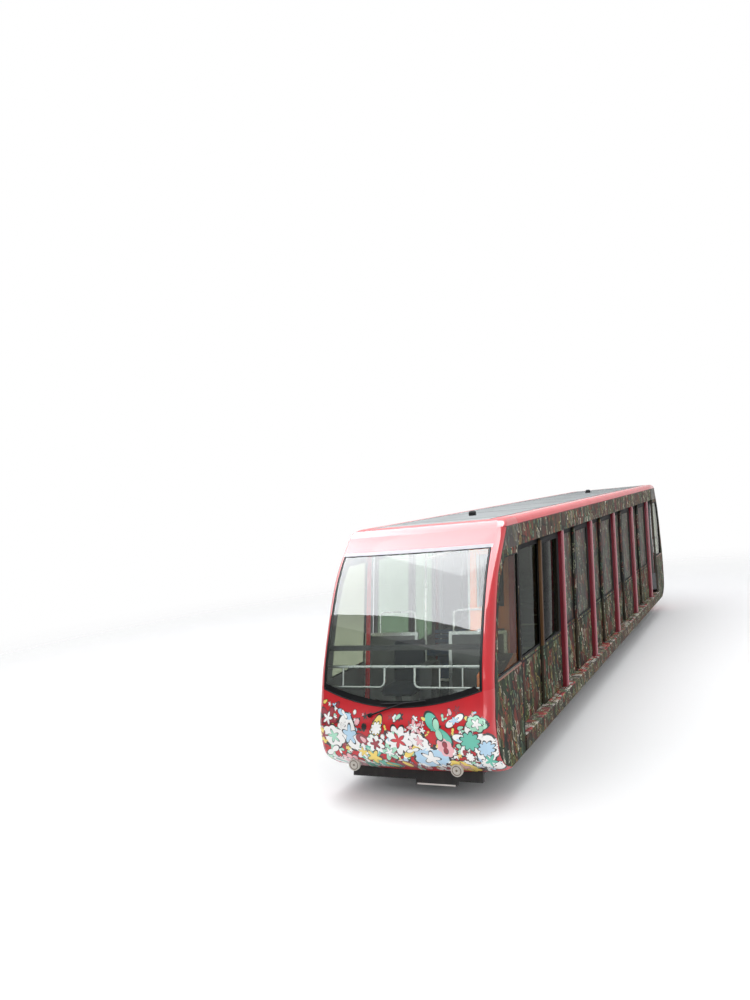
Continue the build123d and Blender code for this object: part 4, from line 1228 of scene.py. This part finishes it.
# Outline and fill of the motif, then of its detail: share of the size, lift
motifDiscs = ((1.0, 0.0012), (0.88, 0.0018), (0.56, 0.0024), (0.48, 0.003))
motifRise = 0.00002
detailTurn = 0.4
sprinkle = {"count": 330, "half": 1.14, "low": 0.44, "top": 0.7, "topRise": 0.16, "topHalf": 1.1,
            "crowd": 1.3, "sizes": (0.028, 0.06), "largerBelow": 0.85, "larger": 1.3, "turn": 6,
            "squash": 0.8, "fill": 0.78, "inkLift": 0.0004, "fillLift": 0.0007, "rise": 0.000004}
smallTones = ("white", "white", "white", "yellow", "pink", "sky", "mint", "ink", "wine")
smallShapes = ("burst", "star", "leaf", "drop", "petals", "bean")
seeds = {1: 11, -1: 23}

for endName, end in ends:
    tree = noseTrees[end]
    layers = {}
    chooser = random.Random(seeds[end])

    # Each colour has a mesh of its own, made when it is first needed
    def lay(tone, disc, *what):
        if tone not in layers:
            layers[tone] = bmesh.new()
        addMotif(layers[tone], disc, tree, end, *what)

    for count, (shape, offset, height, size, turn, squash, fill, detail, tone) in enumerate(bigMotifs):
        discs = ((shape, turn, "ink"), (shape, turn, fill), (detail, turn + detailTurn, "ink"),
                 (detail, turn + detailTurn, tone))
        for (outline, aim, colour), (share, lift) in zip(discs, motifDiscs):
            lay(colour, fineDisc, outline, (offset * end, height), size * share, aim, squash,
                lift + count * motifRise)
    for count in range(sprinkle["count"]):
        offset = chooser.uniform(-sprinkle["half"], sprinkle["half"])
        room = sprinkle["top"] + sprinkle["topRise"] * (offset / sprinkle["topHalf"]) ** 2
        height = sprinkle["low"] + room * chooser.random() ** sprinkle["crowd"]
        size = chooser.uniform(*sprinkle["sizes"])
        size *= sprinkle["larger"] if height < sprinkle["largerBelow"] else 1.0
        shape = chooser.choice(smallShapes)
        turn = chooser.uniform(0, sprinkle["turn"])
        rise = count * sprinkle["rise"]
        lay("ink", coarseDisc, shape, (offset, height), size, turn, sprinkle["squash"],
            sprinkle["inkLift"] + rise)
        lay(chooser.choice(smallTones), coarseDisc, shape, (offset, height), size * sprinkle["fill"], turn,
            sprinkle["squash"], sprinkle["fillLift"] + rise)
    for tone, bm in layers.items():
        piece("noseArt_" + tone + "_" + endName, bm, "decal" + tone.capitalize())
print("nose artwork done")

# Light, floor and camera
studio = {"soft": 0.8, "softTone": (0.97, 0.98, 1.0, 1), "white": 1.0, "whiteTone": (1, 1, 1, 1)}
world = bpy.data.worlds.new("studio")
bpy.context.scene.world = world
world.use_nodes = True
tree = world.node_tree
tree.nodes.clear()
path = newNode(tree, "LightPath")
seen = maths(tree, "MAXIMUM", path.outputs["Is Camera Ray"], path.outputs["Is Transmission Ray"])
seen = maths(tree, "MAXIMUM", seen, path.outputs["Is Glossy Ray"])
lights = [newNode(tree, "Background", {"Color": studio[name + "Tone"], "Strength": studio[name]}).outputs[0]
          for name in ("soft", "white")]
mixed = newNode(tree, "MixShader", {0: seen, 1: lights[0], 2: lights[1]})
tree.links.new(mixed.outputs[0], newNode(tree, "OutputWorld").inputs["Surface"])

# Flat cards that only reflections see. The first edge of a ragged one is uneven, as a tree line is.
cards = {"skyCard": {"corners": ((-28.2, -24, 15), (-14.6, 26.8, 15), (10, 27, 15), (10, -24, 15)),
                     "tone": (0.95, 0.97, 1, 1), "strength": 13.5, "ragged": 0.7},
         "treeCard": {"corners": ((-30, -16, -4), (-30, -16, 12.5), (-8, 34, 12.5), (-8, 34, -4)),
                      "tone": (0.1, 0.12, 0.09, 1), "strength": 1.0, "ragged": 0.0}}
cardCuts = 70
for name, look in cards.items():
    bm = bmesh.new()
    bm.faces.new([bm.verts.new(corner) for corner in look["corners"]])
    if look["ragged"]:
        bm.edges.ensure_lookup_table()
        cuts = bmesh.ops.subdivide_edges(bm, edges=[bm.edges[0]], cuts=cardCuts)["geom_inner"]
        chooser = random.Random(5)
        for item in cuts:
            if isinstance(item, bmesh.types.BMVert):
                item.co.x += chooser.uniform(-look["ragged"], look["ragged"])
    mesh = meshOf(name, bm)
    card = newObject(name, mesh)
    material = bpy.data.materials.new(name)
    material.use_nodes = True
    tree = material.node_tree
    tree.nodes.clear()
    glow = newNode(tree, "Emission", {"Color": look["tone"], "Strength": look["strength"]})
    tree.links.new(glow.outputs[0], newNode(tree, "OutputMaterial").inputs["Surface"])
    mesh.materials.append(material)
    card.visible_camera = card.visible_diffuse = card.visible_transmission = card.visible_shadow = False

boxes = {"topBox": {"place": (-3, 3, 15.5), "aim": (0, 0, 1), "size": (16, 12), "power": 1300},
         "frontBox": {"place": (-16, -12, 7), "aim": (-6, 0, 1.5), "size": (7, 5), "power": 380}}
for name, box in boxes.items():
    light = bpy.data.lights.new(name, "AREA")
    light.shape = "RECTANGLE"
    light.size, light.size_y = box["size"]
    light.energy = box["power"]
    turn = (Vector(box["aim"]) - Vector(box["place"])).to_track_quat("-Z", "Y").to_matrix().to_4x4()
    newObject(name, light).matrix_world = Matrix.Translation(box["place"]) @ turn

# A white floor that fades out round the car
sheet = {"half": 120, "scale": 0.5, "rough": 0.85, "bump": 0.02, "gloss": 0.1, "share": 0.1,
         "tone": (0.95, 0.95, 0.95), "patch": (0.93, 0.93, 0.93), "fade": (8.5, 24.0, 1.0, 0.0)}
bm = bmesh.new()
bmesh.ops.create_grid(bm, x_segments=1, y_segments=1, size=sheet["half"])
floorSheet = newObject("floorSheet", meshOf("floorSheet", bm))
material, tree, surface = newMaterial("floorSheet")
wear = wearOf(tree, sheet["scale"], sheet["rough"])
patches = product(tree, wear["Patches"], sheet["share"])
finishSurface(tree, surface, blendColour(tree, patches, sheet["tone"], sheet["patch"]), wear, sheet)
place = newNode(tree, "TexCoord").outputs["Object"]
reach = newNode(tree, "VectorMath", {0: place}, operation="LENGTH").outputs["Value"]
fade = spread(tree, reach, *sheet["fade"], interpolation_type="SMOOTHSTEP")
tree.links.new(fade, surface.inputs["Alpha"])
floorSheet.data.materials.append(material)

# The photo's camera: its place, and the ways that are right, up and forward for it
photo = {"lens": 30.17, "sensor": 36, "place": (-16.9803, -4.591, 3.8815),
         "right": Vector((0.44196, -0.89115, -0.10258)), "up": Vector((0.04991, -0.08975, 0.99471)),
         "forward": Vector((0.89565, 0.44474, -0.00481))}
lens = bpy.data.cameras.new("photoCamera")
lens.lens = photo["lens"]
lens.sensor_width = lens.sensor_height = photo["sensor"]
lens.sensor_fit = "AUTO"
camera = newObject("photoCamera", lens)
turn = Matrix((photo["right"], photo["up"], -photo["forward"])).transposed().to_4x4()
camera.matrix_world = Matrix.Translation(photo["place"]) @ turn
bpy.context.scene.camera = camera
bpy.context.scene.view_settings.view_transform = "Standard"
